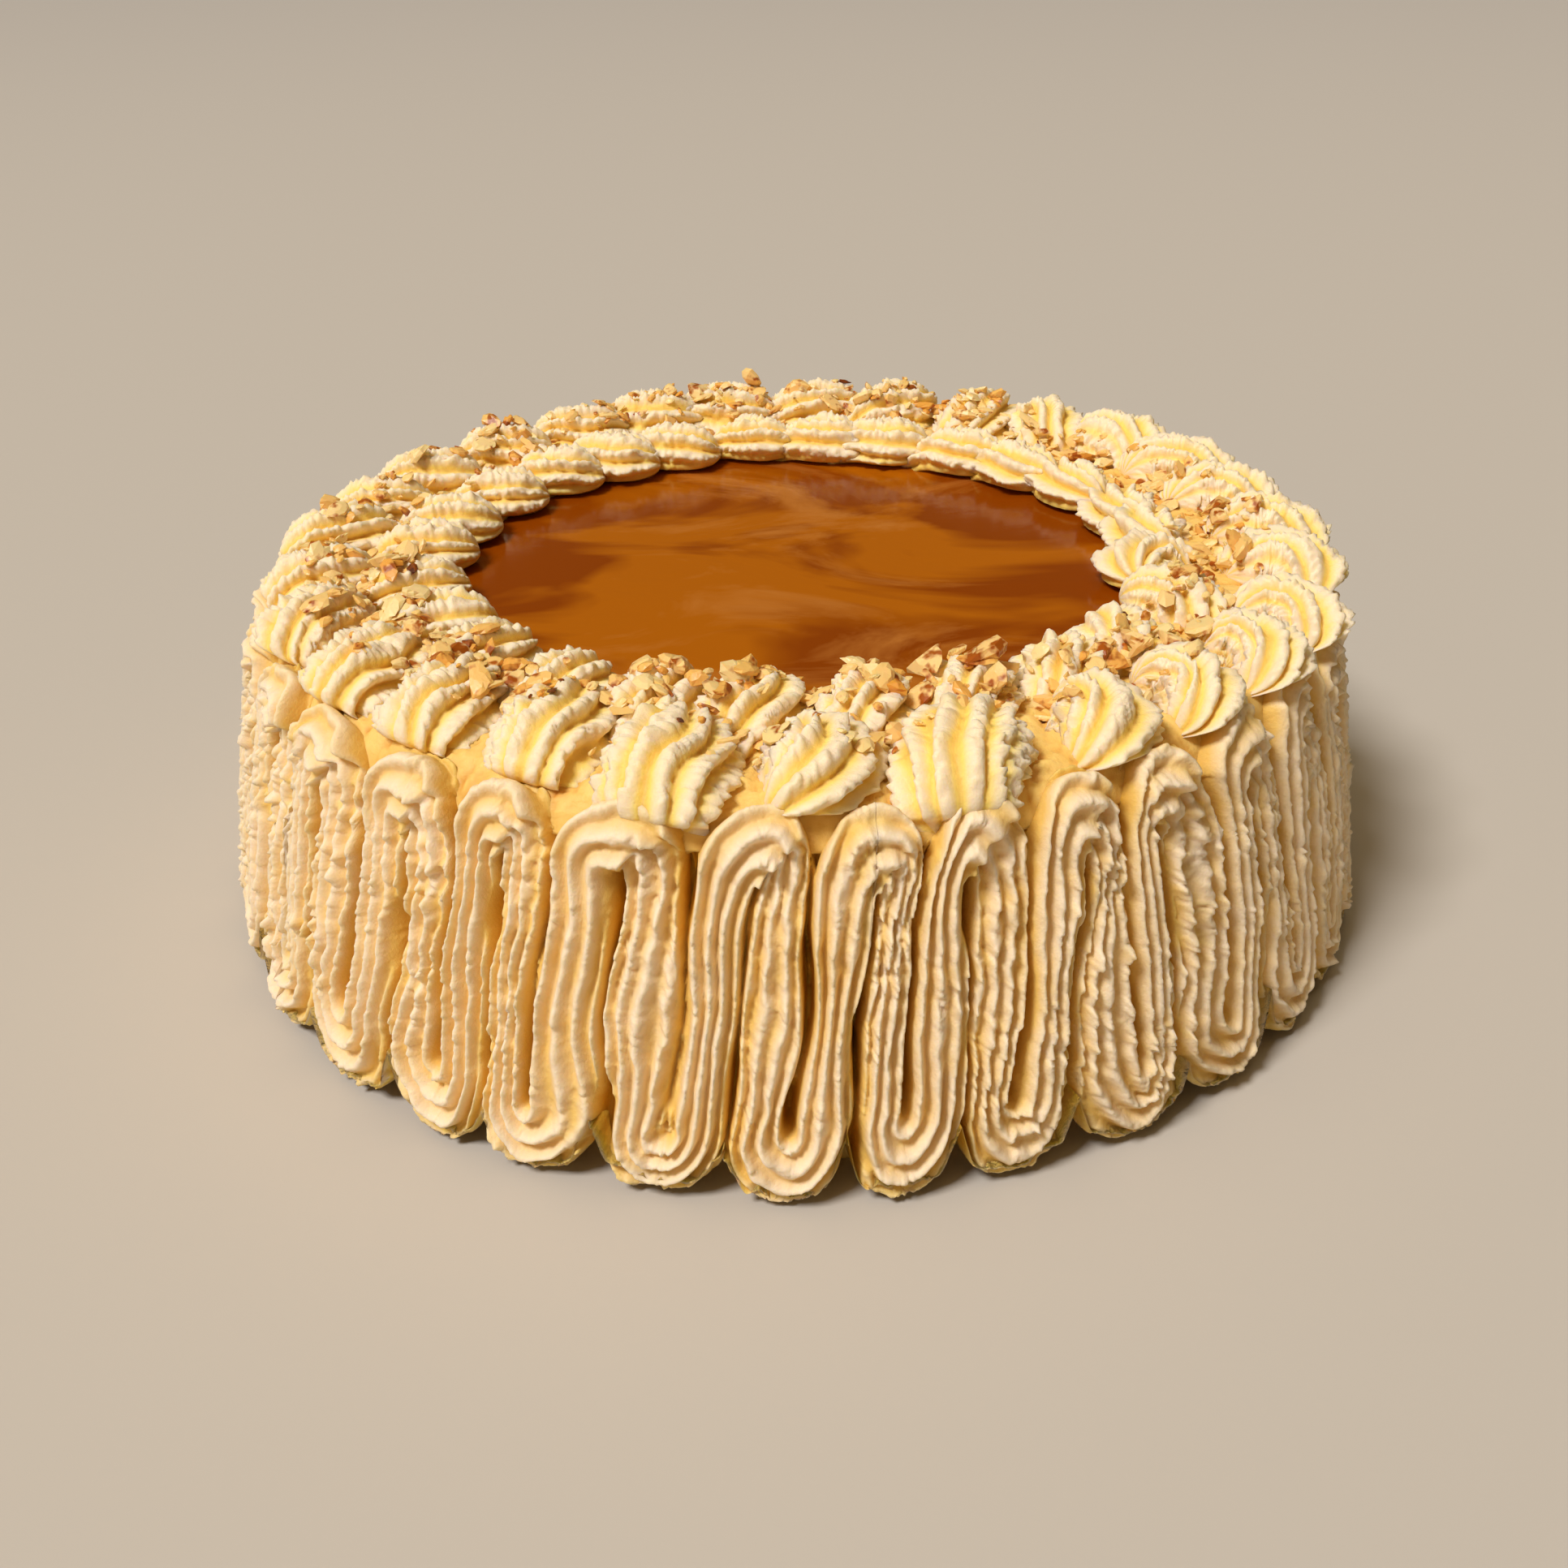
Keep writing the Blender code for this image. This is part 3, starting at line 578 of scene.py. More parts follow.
def shell_lines(azimuth, radius, start, bend, length):
    """The shells' middle lines from tail to head: arcs about the shells' places, whose tails dive and
    which droop where they hang out. Gives the share of its length that a line has run at each row, its
    heading there, and its x, y and z."""
    quarter = np.pi / 2
    tail_rows, body_rows, head_rows = SHELL_ROWS
    along = np.concatenate(
        (
            TAIL_END * (1 - np.cos(np.linspace(0, quarter, tail_rows, endpoint=False))),
            np.linspace(TAIL_END, FULLEST, body_rows, endpoint=False),
            FULLEST + (1 - FULLEST) * np.sin(np.linspace(0, quarter, head_rows)),
        )
    )[None, :]
    heading = np.radians(start + bend * along)
    steps = np.diff(along, axis=1, prepend=0) * length
    line_x, line_y = np.cumsum(np.cos(heading) * steps, axis=1), np.cumsum(np.sin(heading) * steps, axis=1)
    middle = around_axis(azimuth, radius, 0.0)
    line_x += middle[..., 0] - (line_x.max(axis=1, keepdims=True) + line_x.min(axis=1, keepdims=True)) / 2
    line_y += middle[..., 1] - (line_y.max(axis=1, keepdims=True) + line_y.min(axis=1, keepdims=True)) / 2
    overhang = np.clip((np.hypot(line_x, line_y) - DROOP_RADIUS) / DROOP_WIDTH, 0, None)
    dive = np.clip(1 - along / TAIL_DIVE_END, 0, 1)
    line_z = SHELL_CENTRE_HEIGHT - DROOP * overhang**1.5 - TAIL_DIVE * dive**2
    return along, heading, line_x, line_y, line_z


def shell_fullness(along):
    """How full a shell is along its line: a quarter of a circle at the blunt tail, a slow swell, and a
    quarter of a circle at the head."""
    swelling = TAIL_FULLNESS + (1 - TAIL_FULLNESS) * smooth(along / FULLEST)
    before = np.clip(1 - along / TAIL_END, 0, 1)
    past = np.clip((along - FULLEST) / (1 - FULLEST), 0, 1)
    return swelling * np.sqrt(1 - before**2) * np.sqrt(1 - past**2)


def shell_relief(along, angle, around, length, half_width, style, sizes):
    """The relief of full shells, and the painted shade in their grooves, a power of the depth.

    Bold ridges run along a shell's back and outer side, turning round its line by the twist on their
    way, and each is scalloped by the size of a sine along it. The side inside the bend is torn by
    crumbles, and the hems at the foot of both sides are frilled."""
    ridges, twist, seed = style
    number = np.arange(len(length))[:, None, None] * 11.0
    reach = (along * length / MILLIMETRE)[:, :, None]
    round_it = around * half_width / MILLIMETRE

    def wave(relief, long, wide, step, spacing=1):
        return relief(reach / long + number * spacing, round_it / wide, seed + step)

    outside = smooth((around / np.pi - 0.08) / 0.4)
    wander = 0.3 * wave(ripple, 9, 7, 0) + 0.4 * ripple(number, 0.5, seed + 2)
    turned = around / np.pi + np.radians(twist) / np.pi * (along[:, :, None] - FULLEST)
    ridge = crest(turned * ridges + wander, SHELL_CREST_BREADTH * sizes.crest_breadth)
    torn = np.clip(1 - outside + 0.7 * wave(ripple, 8, 8, 12), 0, 1)
    over_top = smooth(np.sin(angle) * 2.5 + 0.7)
    depth = sizes.shell_ridge_height * (0.4 + 0.6 * outside) * (1 - 0.3 * torn)
    depth = depth * (1 + 0.3 * wave(ripple, 7, 6, 9))
    scallop = np.abs(np.sin(np.pi * (reach / SCALLOP_LENGTH + 1.5 * wave(ripple, 4, 5, 18))))
    bead, lumps = wave(crumble, 1.5, 2.2, 3, spacing=3), wave(crumble, 3.2, 3.2, 6)
    crinkle = bead * (0.5 + ridge + 0.8 * torn) + (0.6 + 1.6 * torn) * lumps
    crinkle = crinkle + SCALLOP_HEIGHT * (scallop - 0.6) * ridge
    hem = smooth(1 - np.abs(around - 0.97 * np.pi) / 0.6) + 0.6 * smooth(1 - np.abs(around - 0.06) / 0.5)
    frill = sizes.frill * hem * (0.5 + 0.9 * wave(crumble, 2.2, 3, 15, spacing=5))
    # Painted shade in the grooves, more on the outer side, only over the top
    groove = (1 - ridge) ** 1.4 * (0.28 + 0.3 * outside) * over_top
    return ((ridge - 1) * depth + sizes.crinkle * crinkle) * over_top + frill, groove


def shell_sheets(plan, half_width, length, style, sizes):
    """The shells of a row as grids of points, by shell, row from tail to head and column round it.

    The section is an oval about the middle line, wider outside the bend than inside it, and its size and
    relief go with the fullness. Where a shell reaches over the crowns of the side it is drawn in, by a
    firm blend of its distance from the axis and a limit that falls with its height.

    Gives the points, and how hollow each lies, painted as shade: as its groove, and more underneath."""
    azimuth, radius, start, bend, hanging, unevenness = (column[:, None] for column in plan.T)
    length = length * unevenness * (1 - 0.2 * np.minimum(np.abs(bend) / 170, 1))
    along, heading, line_x, line_y, line_z = shell_lines(azimuth, radius, start, bend, length)
    fullness = shell_fullness(along)
    size = (half_width * unevenness * fullness)[:, :, None]
    over, under = SHELL_COLUMNS
    angle = np.concatenate(
        (np.linspace(0, np.pi, over, endpoint=False), np.linspace(np.pi, 2 * np.pi, under, endpoint=False))
    )[None, None, :]
    around = np.where((bend < 0)[:, :, None], np.pi - angle, angle) % (2 * np.pi)
    relief, groove = shell_relief(along, angle, around, length, half_width, style, sizes)
    relief = relief * fullness[:, :, None]

    bend_radius = length / np.radians(np.abs(bend) + 1)
    inside_width = np.minimum(INNER_WIDTH, 0.85 * bend_radius / half_width)[:, :, None]
    cosine, sine = np.cos(angle), np.sin(angle)
    wide = np.where(np.cos(around) < 0, OUTER_WIDTH, inside_width)
    upward = np.where(sine > 0, BACK_HEIGHT, BELLY_DEPTH)
    sideways = (size * wide + relief) * cosine * (1 - UNDERCUT * smooth(-1.5 * sine))
    lift = (size + relief) * sine * upward
    x = line_x[:, :, None] - np.sin(heading)[:, :, None] * sideways
    y = line_y[:, :, None] + np.cos(heading)[:, :, None] * sideways
    z = line_z[:, :, None] + lift

    # Behind the crowns of the side: the lower a point lies, the less far out it may lie
    limit = CROWN_BACK + hanging[:, :, None] + np.clip(CROWN_SLOPE * (z - CROWN_LEVEL), -CROWN_PULL, None)
    pull = (1 + (np.hypot(x, y) / limit) ** CROWN_FIRMNESS) ** (-1 / CROWN_FIRMNESS)
    x, y = x * pull, y * pull
    # Painted shade: the grooves', and more on the underside
    hollow = np.clip(groove + 0.6 * smooth(-sine * 2 + 0.3), 0, 1)
    return np.stack((x, y, z), axis=-1), np.broadcast_to(hollow, x.shape)


def closed_faces(count, rows, columns):
    """Faces of several like grids of points, each closed round its columns and brought to a point at its
    first and last row. The points of a grid come first, then its two end points."""
    first = np.arange(columns)
    last = first + (rows - 1) * columns
    caps = np.concatenate(
        (
            np.stack((np.roll(first, -1), first, np.full(columns, rows * columns)), axis=-1),
            np.stack((last, np.roll(last, -1), np.full(columns, rows * columns + 1)), axis=-1),
        )
    )
    rings = grid_faces(rows, columns, close_columns=True)
    offset = np.arange(count)[:, None, None] * (rows * columns + 2)
    return [(faces[None] + offset).reshape(-1, faces.shape[1]) for faces in (rings, caps)]


def closed_shells(points, hollow):
    """Grids of points as one list, the first and the last row of each drawn together to a pole."""
    shells, rows, columns = points.shape[:3]
    poles = points[:, (0, -1)].mean(axis=2)
    listed = np.concatenate((points[:, 1:-1].reshape(shells, -1, 3), poles), axis=1).reshape(-1, 3)
    pole_shade = hollow[:, (0, -1)].mean(axis=2)
    shade = np.concatenate((hollow[:, 1:-1].reshape(shells, -1), pole_shade), axis=1).ravel()
    return listed, closed_faces(shells, rows - 2, columns), shade


# ---------------------------------------------------------------- the bed of cream and the nuts

def bed_sheet():
    """A lumpy ring of cream under the shells, and its hollows: a low profile from its edge on the
    caramel to its fall behind the crowns of the side, carried round. Its lumps are the sum of a coarse
    and a fine crumble, fading by the root of a sine towards its edges, and are hollow where low, where
    the finish paints shade."""
    azimuth = np.linspace(0, 360, BED_COLUMNS, endpoint=False)[None, :]
    share = np.linspace(0, 1, BED_ROWS)[:, None]
    step = share * (len(BED_RADII) - 1)
    inner_wave = 0.5 * MILLIMETRE * crumble(azimuth / 3, 0.5, 91, 120) * (1 - share)
    radius = np.interp(step, np.arange(len(BED_RADII)), BED_RADII) + inner_wave
    relief = crumble(azimuth * 0.6, radius / (4 * MILLIMETRE), 92, 216)
    relief = relief + 0.5 * crumble(azimuth * 1.6, radius / (1.6 * MILLIMETRE), 96, 576)
    height = np.interp(step, np.arange(len(BED_RADII)), BED_HEIGHTS)
    height = height + BED_LUMP * relief * np.sin(np.pi * share) ** 0.5
    # Painted shade, and caramel soaked into the cream: the lower a lump lies, the darker and browner it is
    return around_axis(azimuth, radius, height), np.clip(0.35 - 0.3 * relief, 0, 1)


def rim_heights():
    """The rim's height on a square map: the highest point of the piped cream in each cell."""
    cells = int(2 * MAP_HALF / MAP_CELL)
    heights = np.full((cells, cells), CAKE_TOP)
    for piece in bpy.data.objects:
        if piece.name.startswith(("outer_shells", "inner_shells", "cream_bed")):
            points = np.empty(len(piece.data.vertices) * 3, np.float32)
            piece.data.vertices.foreach_get("co", points)
            points = points.reshape(-1, 3)
            cell = ((points[:, :2] + MAP_HALF) / MAP_CELL).astype(int).clip(0, cells - 1)
            np.maximum.at(heights, (cell[:, 0], cell[:, 1]), points[:, 2])
    return heights


def strewn(count, smallest, largest, draw):
    """Azimuths, radii and sizes of strewn chips. Most fall in handfuls, normally spread about their
    middles, and the rest anywhere on the band. Sizes are even in their logarithm, with more small ones."""
    handfuls = np.array(HANDFULS)
    chosen = draw.choice(len(handfuls), count, p=handfuls[:, 2] / handfuls[:, 2].sum())
    loose = draw.uniform(0, 1, count) > HANDFUL_SHARE
    azimuth = handfuls[chosen, 0] + HANDFUL_SPREAD[0] * draw.normal(0, 1, count)
    radius = handfuls[chosen, 1] + HANDFUL_SPREAD[1] * draw.normal(0, 1, count)
    azimuth = np.where(loose, draw.uniform(-180, 180, count), azimuth)
    radius = np.where(loose, draw.uniform(*LOOSE_BAND, count), radius).clip(*NUT_LIMITS)
    return azimuth, radius, smallest * (largest / smallest) ** draw.uniform(0, 1, count) ** 1.5


def chopped_pieces(azimuth, radius, size, shape, draw):
    """Angular chips of nut on the rim: balls of points, each cut back to random flat planes.

    A point of a ball lies in its direction at the least of plane distance over the cosine between
    direction and plane, or on the ball. The chip is then flattened by the shape, rolled, tilted and
    spun at random, and set at the mean height of the cream about it, sunk a little. Gives the chips'
    points and a random tone for each chip."""
    count = len(size)
    up = np.cos(np.linspace(np.pi, 0, CHIP_RINGS + 2))[1:-1, None]
    turn = np.linspace(0, 2 * np.pi, CHIP_SPOKES, endpoint=False)[None, :]
    level = np.sqrt(1 - up**2)
    ball = np.stack(np.broadcast_arrays(level * np.cos(turn), level * np.sin(turn), up), axis=-1)
    ball = np.concatenate((ball.reshape(-1, 3), [[0, 0, -1], [0, 0, 1]]))
    planes = draw.normal(size=(count, CHIP_CUTS, 3))
    planes /= np.linalg.norm(planes, axis=2, keepdims=True)
    distance = draw.uniform(0.4, 0.9, (count, CHIP_CUTS))
    facing = np.einsum("pk,cqk->cpq", ball, planes)
    reach = np.where(facing > 0.05, distance[:, None, :] / np.maximum(facing, 0.05), 9.0).min(axis=2)
    chips = ball[None] * np.minimum(reach, 1.3)[:, :, None]

    form = np.array(shape) * draw.uniform(0.75, 1.15, (count, 3))
    chips = chips * (form * size[:, None] / 2)[:, None, :]
    spin = draw.uniform(0, 2 * np.pi, count)
    tilt, roll = draw.normal(0, CHIP_TILT, (2, count))
    chips = turned_points(turned_points(turned_points(chips, roll, 0), tilt, 1), spin, 2)

    spot = around_axis(azimuth, radius, 0.0)[:, :2]
    heights = rim_heights()
    cell = ((spot + MAP_HALF) / MAP_CELL).astype(int)
    nearby = [heights[cell[:, 0] + i, cell[:, 1] + j] for i in (-1, 0, 1) for j in (-1, 0, 1)]
    ground = np.mean(nearby, axis=0)
    low = chips[:, :, 2].min(axis=1)
    chips[:, :, :2] += spot[:, None, :]
    chips[:, :, 2] += (ground - low * 0.6)[:, None]
    tone = np.broadcast_to(draw.uniform(0, 1, (count, 1)), chips.shape[:2])
    return chips, tone


def turned_points(points, angles, axis):
    """Groups of points, each group turned by its own angle about one axis."""
    first, second = [k for k in range(3) if k != axis]
    cosine, sine = np.cos(angles)[:, None], np.sin(angles)[:, None]
    moved = points.copy()
    moved[:, :, first] = cosine * points[:, :, first] - sine * points[:, :, second]
    moved[:, :, second] = sine * points[:, :, first] + cosine * points[:, :, second]
    return moved


# ---------------------------------------------------------------- materials

def give(tree, node, values):
    """Set a node's inputs, by name or number, each to a plain value or a link from an output."""
    for socket, value in values.items():
        if isinstance(value, bpy.types.NodeSocket):
            tree.links.new(value, node.inputs[socket])
        else:
            node.inputs[socket].default_value = value


def add_node(tree, kind, values=None, **settings):
    """A shader node with its settings and its inputs."""
    made = tree.nodes.new(kind)
    for setting, value in settings.items():
        setattr(made, setting, value)
    give(tree, made, values or {})
    return made


def object_place(tree):
    """The place on the piece, on its Object coordinates."""
    return add_node(tree, "ShaderNodeTexCoord").outputs["Object"]


def own_shade(tree, name):
    """A shade that the piece carries on its points."""
    return add_node(tree, "ShaderNodeAttribute", attribute_name=name).outputs["Fac"]


def noise(tree, place, scale, detail, roughness=0.5, distortion=0.0):
    """A noise from 0 to 1 at each place."""
    values = {"Vector": place, "Scale": scale, "Detail": detail}
    values.update({"Roughness": roughness, "Distortion": distortion})
    return add_node(tree, "ShaderNodeTexNoise", values).outputs["Fac"]


def worked_out(tree, operation, *values):
    """One step of arithmetic on values."""
    return add_node(tree, "ShaderNodeMath", dict(enumerate(values)), operation=operation).outputs[0]


def stretched(tree, value, low, high, new_low=0.0, new_high=1.0):
    """A value carried evenly from one range to another, and held within it."""
    values = {"Value": value, "From Min": low, "From Max": high, "To Min": new_low, "To Max": new_high}
    return add_node(tree, "ShaderNodeMapRange", values).outputs["Result"]


def raised(tree, height, strength, distance):
    """The normal of a surface with a fine relief."""
    values = {"Height": height, "Strength": strength, "Distance": distance}
    return add_node(tree, "ShaderNodeBump", values).outputs["Normal"]


def blend_colours(tree, factor, first, second):
    """A colour from the first to the second by the factor."""
    return add_node(tree, "ShaderNodeMix", {0: factor, 6: first, 7: second}, data_type="RGBA").outputs[2]


def new_group(name, inputs, outputs):
    """An empty shader node group and its two end nodes. Inputs and outputs are given with their plain
    values, a colour's with four numbers."""
    tree = bpy.data.node_groups.new(name, "ShaderNodeTree")
    for in_out, sockets in (("INPUT", inputs), ("OUTPUT", outputs)):
        for label, value in sockets.items():
            kind = "NodeSocketFloat" if isinstance(value, float) else "NodeSocketColor"
            tree.interface.new_socket(label, in_out=in_out, socket_type=kind).default_value = value
    return tree, tree.nodes.new("NodeGroupInput"), tree.nodes.new("NodeGroupOutput")


def placed_group(tree, name, values):
    """A node that holds a node group, with its inputs."""
    made = add_node(tree, "ShaderNodeGroup", node_tree=bpy.data.node_groups[name])
    give(tree, made, values)
    return made


def new_material(name):
    """A material, its node tree and its shader."""
    material = bpy.data.materials.new(name)
    material.use_nodes = True
    return material, material.node_tree, material.node_tree.nodes["Principled BSDF"]


def cream_group():
    """Piped cream: pale on its crests, yellower painted shade in its hollows, faintly mottled, finely pitted.
    """
    tree, start, end = new_group(
        "Cream",
        {"Hollow": 0.0, "Crest": WHITE, "Valley": WHITE, "Slit": WHITE, "Pit Scale": 900.0},
        {"Colour": WHITE, "Roughness": 0.5, "Height": 0.0},
    )
    place = object_place(tree)
    mottle = worked_out(tree, "SUBTRACT", noise(tree, place, 90.0, 4.0, 0.6), 0.5)
    pits = noise(tree, place, start.outputs["Pit Scale"], 3.0, 0.65)
    depth = worked_out(tree, "MULTIPLY_ADD", mottle, 0.45, start.outputs["Hollow"])
    # Painted shade: the more hollow a point lies, the more it takes the valley's and then the slit's colour
    valley_shade_mask, slit_shade_mask = stretched(tree, depth, 0.02, 0.42), stretched(tree, depth, 0.42, 0.95)
    shallow = blend_colours(tree, valley_shade_mask, start.outputs["Crest"], start.outputs["Valley"])
    deep = blend_colours(tree, slit_shade_mask, shallow, start.outputs["Slit"])
    rough = stretched(tree, pits, 0.0, 1.0, 0.42, 0.62)
    give(tree, end, {"Colour": deep, "Roughness": rough, "Height": pits})


def cream_material(name, crest, valley, slit, softness=CREAM_SOFTNESS, pit_scale=900.0, flat_hollow=None):
    """A cream finish: the colour of its crests, and painted shade in the colours of its valleys and slits,
    the more so the more hollow a point lies. Its hollows are read from the piece, or lie at one depth all
    over. The softness is the share of the light that soaks in."""
    material, tree, shader = new_material(name)
    hollow = own_shade(tree, "hollow") if flat_hollow is None else flat_hollow
    values = {"Hollow": hollow, "Pit Scale": pit_scale}
    values.update({"Crest": (*crest, 1), "Valley": (*valley, 1), "Slit": (*slit, 1)})
    cream = placed_group(tree, "Cream", values)
    finish = {
        "Base Color": cream.outputs["Colour"],
        "Roughness": cream.outputs["Roughness"],
        "Normal": raised(tree, cream.outputs["Height"], 0.6, 0.4 * MILLIMETRE),
        "Subsurface Weight": softness,
        "Subsurface Radius": CREAM_SOAK,
        "Subsurface Scale": CREAM_SOAK_DEPTH,
        "Specular IOR Level": 0.3,
    }
    give(tree, shader, finish)
    return material


def caramel_material(colours):
    """Poured caramel: amber with darker pools, painted shade towards its sides and painted sheen in
    lighter, drawn-out streaks, under a clear gloss.
    """
    material, tree, shader = new_material("poured_caramel")
    place = object_place(tree)
    drawn_out = {"Vector": place, "Scale": (1.0, 1.7, 1.0), "Rotation": (0, 0, 0.12)}
    drawn = add_node(tree, "ShaderNodeMapping", drawn_out).outputs["Vector"]
    pools = noise(tree, drawn, 15.0, 3.5, 0.55, 0.9)
    streaks = noise(tree, drawn, 17.0, 5.0, 0.62, 1.5)

    # Painted shade: darker towards the sides; painted sheen: lighter streaks round the middle
    split = add_node(tree, "ShaderNodeSeparateXYZ", {0: place})
    aside = worked_out(tree, "ABSOLUTE", split.outputs["X"])
    # Painted shade towards the sides, added to the mask of the darker pools
    deeper = stretched(tree, aside, 0.03, 0.08, 0.0, 0.22)
    fading = stretched(tree, aside, 0.03, 0.075, 0.0, 0.12)
    pool_mask = stretched(tree, worked_out(tree, "ADD", pools, deeper), 0.48, 0.60)
    painted_sheen_mask = stretched(tree, worked_out(tree, "SUBTRACT", streaks, fading), 0.50, 0.68, 0.0, 0.75)
    amber = blend_colours(tree, pool_mask, (*colours.caramel_amber, 1), (*colours.caramel_pools_and_side_shade, 1))
    finish = {
        "Base Color": blend_colours(tree, painted_sheen_mask, amber, (*colours.caramel_painted_sheen, 1)),
        "Normal": raised(tree, streaks, 0.25, 0.8 * MILLIMETRE),
        "Roughness": 0.15,
        "Specular IOR Level": 0.12,
    }
    give(tree, shader, finish)
    return material


def nut_group():
    """Chopped nut: its own tone from chip to chip, browned in patches, with faint grain."""
    tree, start, end = new_group(
        "Nut",
        {"Tone": 0.5, "Light": WHITE, "Deep": WHITE, "Browned": WHITE, "Browning": 0.5},
        {"Colour": WHITE, "Height": 0.0},
    )
    place = object_place(tree)
    patches, grain = noise(tree, place, 330.0, 2.0), noise(tree, place, 1500.0, 3.0)
    ground = blend_colours(tree, start.outputs["Tone"], start.outputs["Light"], start.outputs["Deep"])
    edge_of_brown = worked_out(tree, "SUBTRACT", 0.75, start.outputs["Browning"])
    browned = stretched(tree, patches, edge_of_brown, worked_out(tree, "ADD", edge_of_brown, 0.12))
    colour = blend_colours(tree, browned, ground, start.outputs["Browned"])
    give(tree, end, {"Colour": colour, "Height": grain})


def nut_material(name, light, deep, browned, browning, roughness):
    """A finish of chopped nut between two colours, with a share of it browned."""
    material, tree, shader = new_material(name)
    values = {"Tone": own_shade(tree, "tone"), "Browning": browning}
    values.update({"Light": (*light, 1), "Deep": (*deep, 1), "Browned": (*browned, 1)})
    nut = placed_group(tree, "Nut", values)
    finish = {
        "Base Color": nut.outputs["Colour"],
        "Normal": raised(tree, nut.outputs["Height"], 0.3, 0.2 * MILLIMETRE),
        "Roughness": roughness,
        "Subsurface Weight": NUT_SOFTNESS,
        "Subsurface Radius": NUT_SOAK,
        "Subsurface Scale": NUT_SOAK_DEPTH,
    }
    give(tree, shader, finish)
    return material


# ---------------------------------------------------------------- what a user may change

def length_property(name, description, default):
    """A length in metres."""
    return bpy.props.FloatProperty(
        name=name, description=description, default=default, min=0.0, precision=4, unit="LENGTH"
    )


def colour_property(name, description, default):
    """A colour of red, green and blue."""
    return bpy.props.FloatVectorProperty(
        name=name, description=description, default=default, size=3, min=0.0, max=1.0, subtype="COLOR"
    )


class CakeSizes(bpy.types.PropertyGroup):
    """Sizes of the piping and the nuts."""

    turn_depth: length_property("Turn depth", "Height of the arcs in which the piping turns", 0.018)
    slit_depth: length_property("Slit depth", "Depth of an open slit between two strands", 0.0075)
    edge_drop: length_property("Edge drop", "Fall of a turn's outer edge", 0.0016)
    dome: length_property("Dome", "How far the middle of a strand stands over its sides", 0.0010)
    ridge_height: length_property("Ridge height", "Height of the ridges on the side piping", 0.0025)
    lap: length_property("Lap", "How far a turn at the crown laps over the next strand", 0.0020)
    lip: length_property("Lip", "How far the outer edge of a turn at the crown stands out", 0.0012)
    crinkle: length_property("Crinkle", "Height of the beads on the crests", 0.00046)
    lump: length_property("Lump", "Height of the lumps where a turn folds over", 0.0009)
    crest_breadth: bpy.props.FloatProperty(
        name="Crest breadth", description="1 for sharp ridges, 2 for even waves", default=2.0, min=1.0
    )
    sway: bpy.props.FloatProperty(
        name="Sway", description="How far the strands wander, as a share of their width", default=0.2, min=0.0
    )
    outer_shell_half_width: length_property(
        "Outer shell half-width", "Half the width of an outer shell", 0.0114
    )
    outer_shell_length: length_property(
        "Outer shell length", "Length of an outer shell along its bend", 0.033
    )
    inner_shell_half_width: length_property(
        "Inner shell half-width", "Half the width of an inner shell", 0.0100
    )
    inner_shell_length: length_property(
        "Inner shell length", "Length of an inner shell along its bend", 0.029
    )
    shell_ridge_height: length_property("Shell ridge height", "Height of the ridges on the shells", 0.0031)
    frill: length_property("Frill", "How far the shells' hems are frilled", 0.0009)
    pale_nuts: bpy.props.IntProperty(name="Pale nuts", description="Number of pale chips", default=740, min=1)
    browned_nuts: bpy.props.IntProperty(
        name="Browned nuts", description="Number of browned chips", default=190, min=1
    )
    skins: bpy.props.IntProperty(name="Skins", description="Number of chips of skin", default=60, min=1)


class CakeColours(bpy.types.PropertyGroup):
    """Colours of the cream, the caramel and the nuts."""

    cream_crest: colour_property("Cream crest", "Piped cream on its crests", (0.92, 0.75, 0.55))
    # Painted shade: the cream's colours in its valleys and slits
    cream_valley_shade: colour_property("Cream valley", "Piped cream between its ridges", (0.85, 0.57, 0.16))
    cream_slit_shade: colour_property("Cream slit", "Cream deep in the slits", (0.68, 0.36, 0.03))
    shell_crest: colour_property("Shell crest", "The shells on their crests", (0.95, 0.77, 0.55))
    # Painted shade: the shells' colour in their grooves
    shell_valley_shade: colour_property("Shell valley", "The shells between their ridges", (0.98, 0.70, 0.18))
    bed: colour_property("Bed", "The cream under the shells", (0.91, 0.62, 0.20))
    # Painted shade, and caramel soaked into the cream: the bed's colour where it lies lowest
    soaked: colour_property("Soaked cream", "Where caramel has soaked into the cream", (0.64, 0.25, 0.02))
    coat: colour_property("Coat", "The thin coat of cream in the gaps", (0.84, 0.55, 0.15))
    caramel_amber: colour_property("Caramel", "Caramel in its middle tone", (0.42, 0.116, 0.002))
    # Painted shade towards the caramel's sides shares the pools' dark colour; the lighter streaks are painted
    # sheen
    caramel_pools_and_side_shade: colour_property("Caramel, dark", "Caramel in its darker pools", (0.24, 0.045, 0.0002))
    caramel_painted_sheen: colour_property("Caramel, light", "Caramel in its lighter streaks", (0.50, 0.18, 0.030))
    nut: colour_property("Nut", "Pale chopped nut", (0.95, 0.72, 0.34))
    nut_deep: colour_property("Nut, deeper", "The deeper pale nuts", (0.90, 0.52, 0.14))
    nut_gold: colour_property("Nut, gold", "Nuts roasted gold", (0.78, 0.35, 0.045))
    nut_brown: colour_property("Nut, browned", "Browned faces of the nuts", (0.38, 0.09, 0.003))
    nut_skin: colour_property("Nut skin", "Skin left on the nuts", (0.08, 0.018, 0.006))
    floor: colour_property("Floor", "Plain floor under the cake", (0.55, 0.51, 0.46))


# ---------------------------------------------------------------- operators

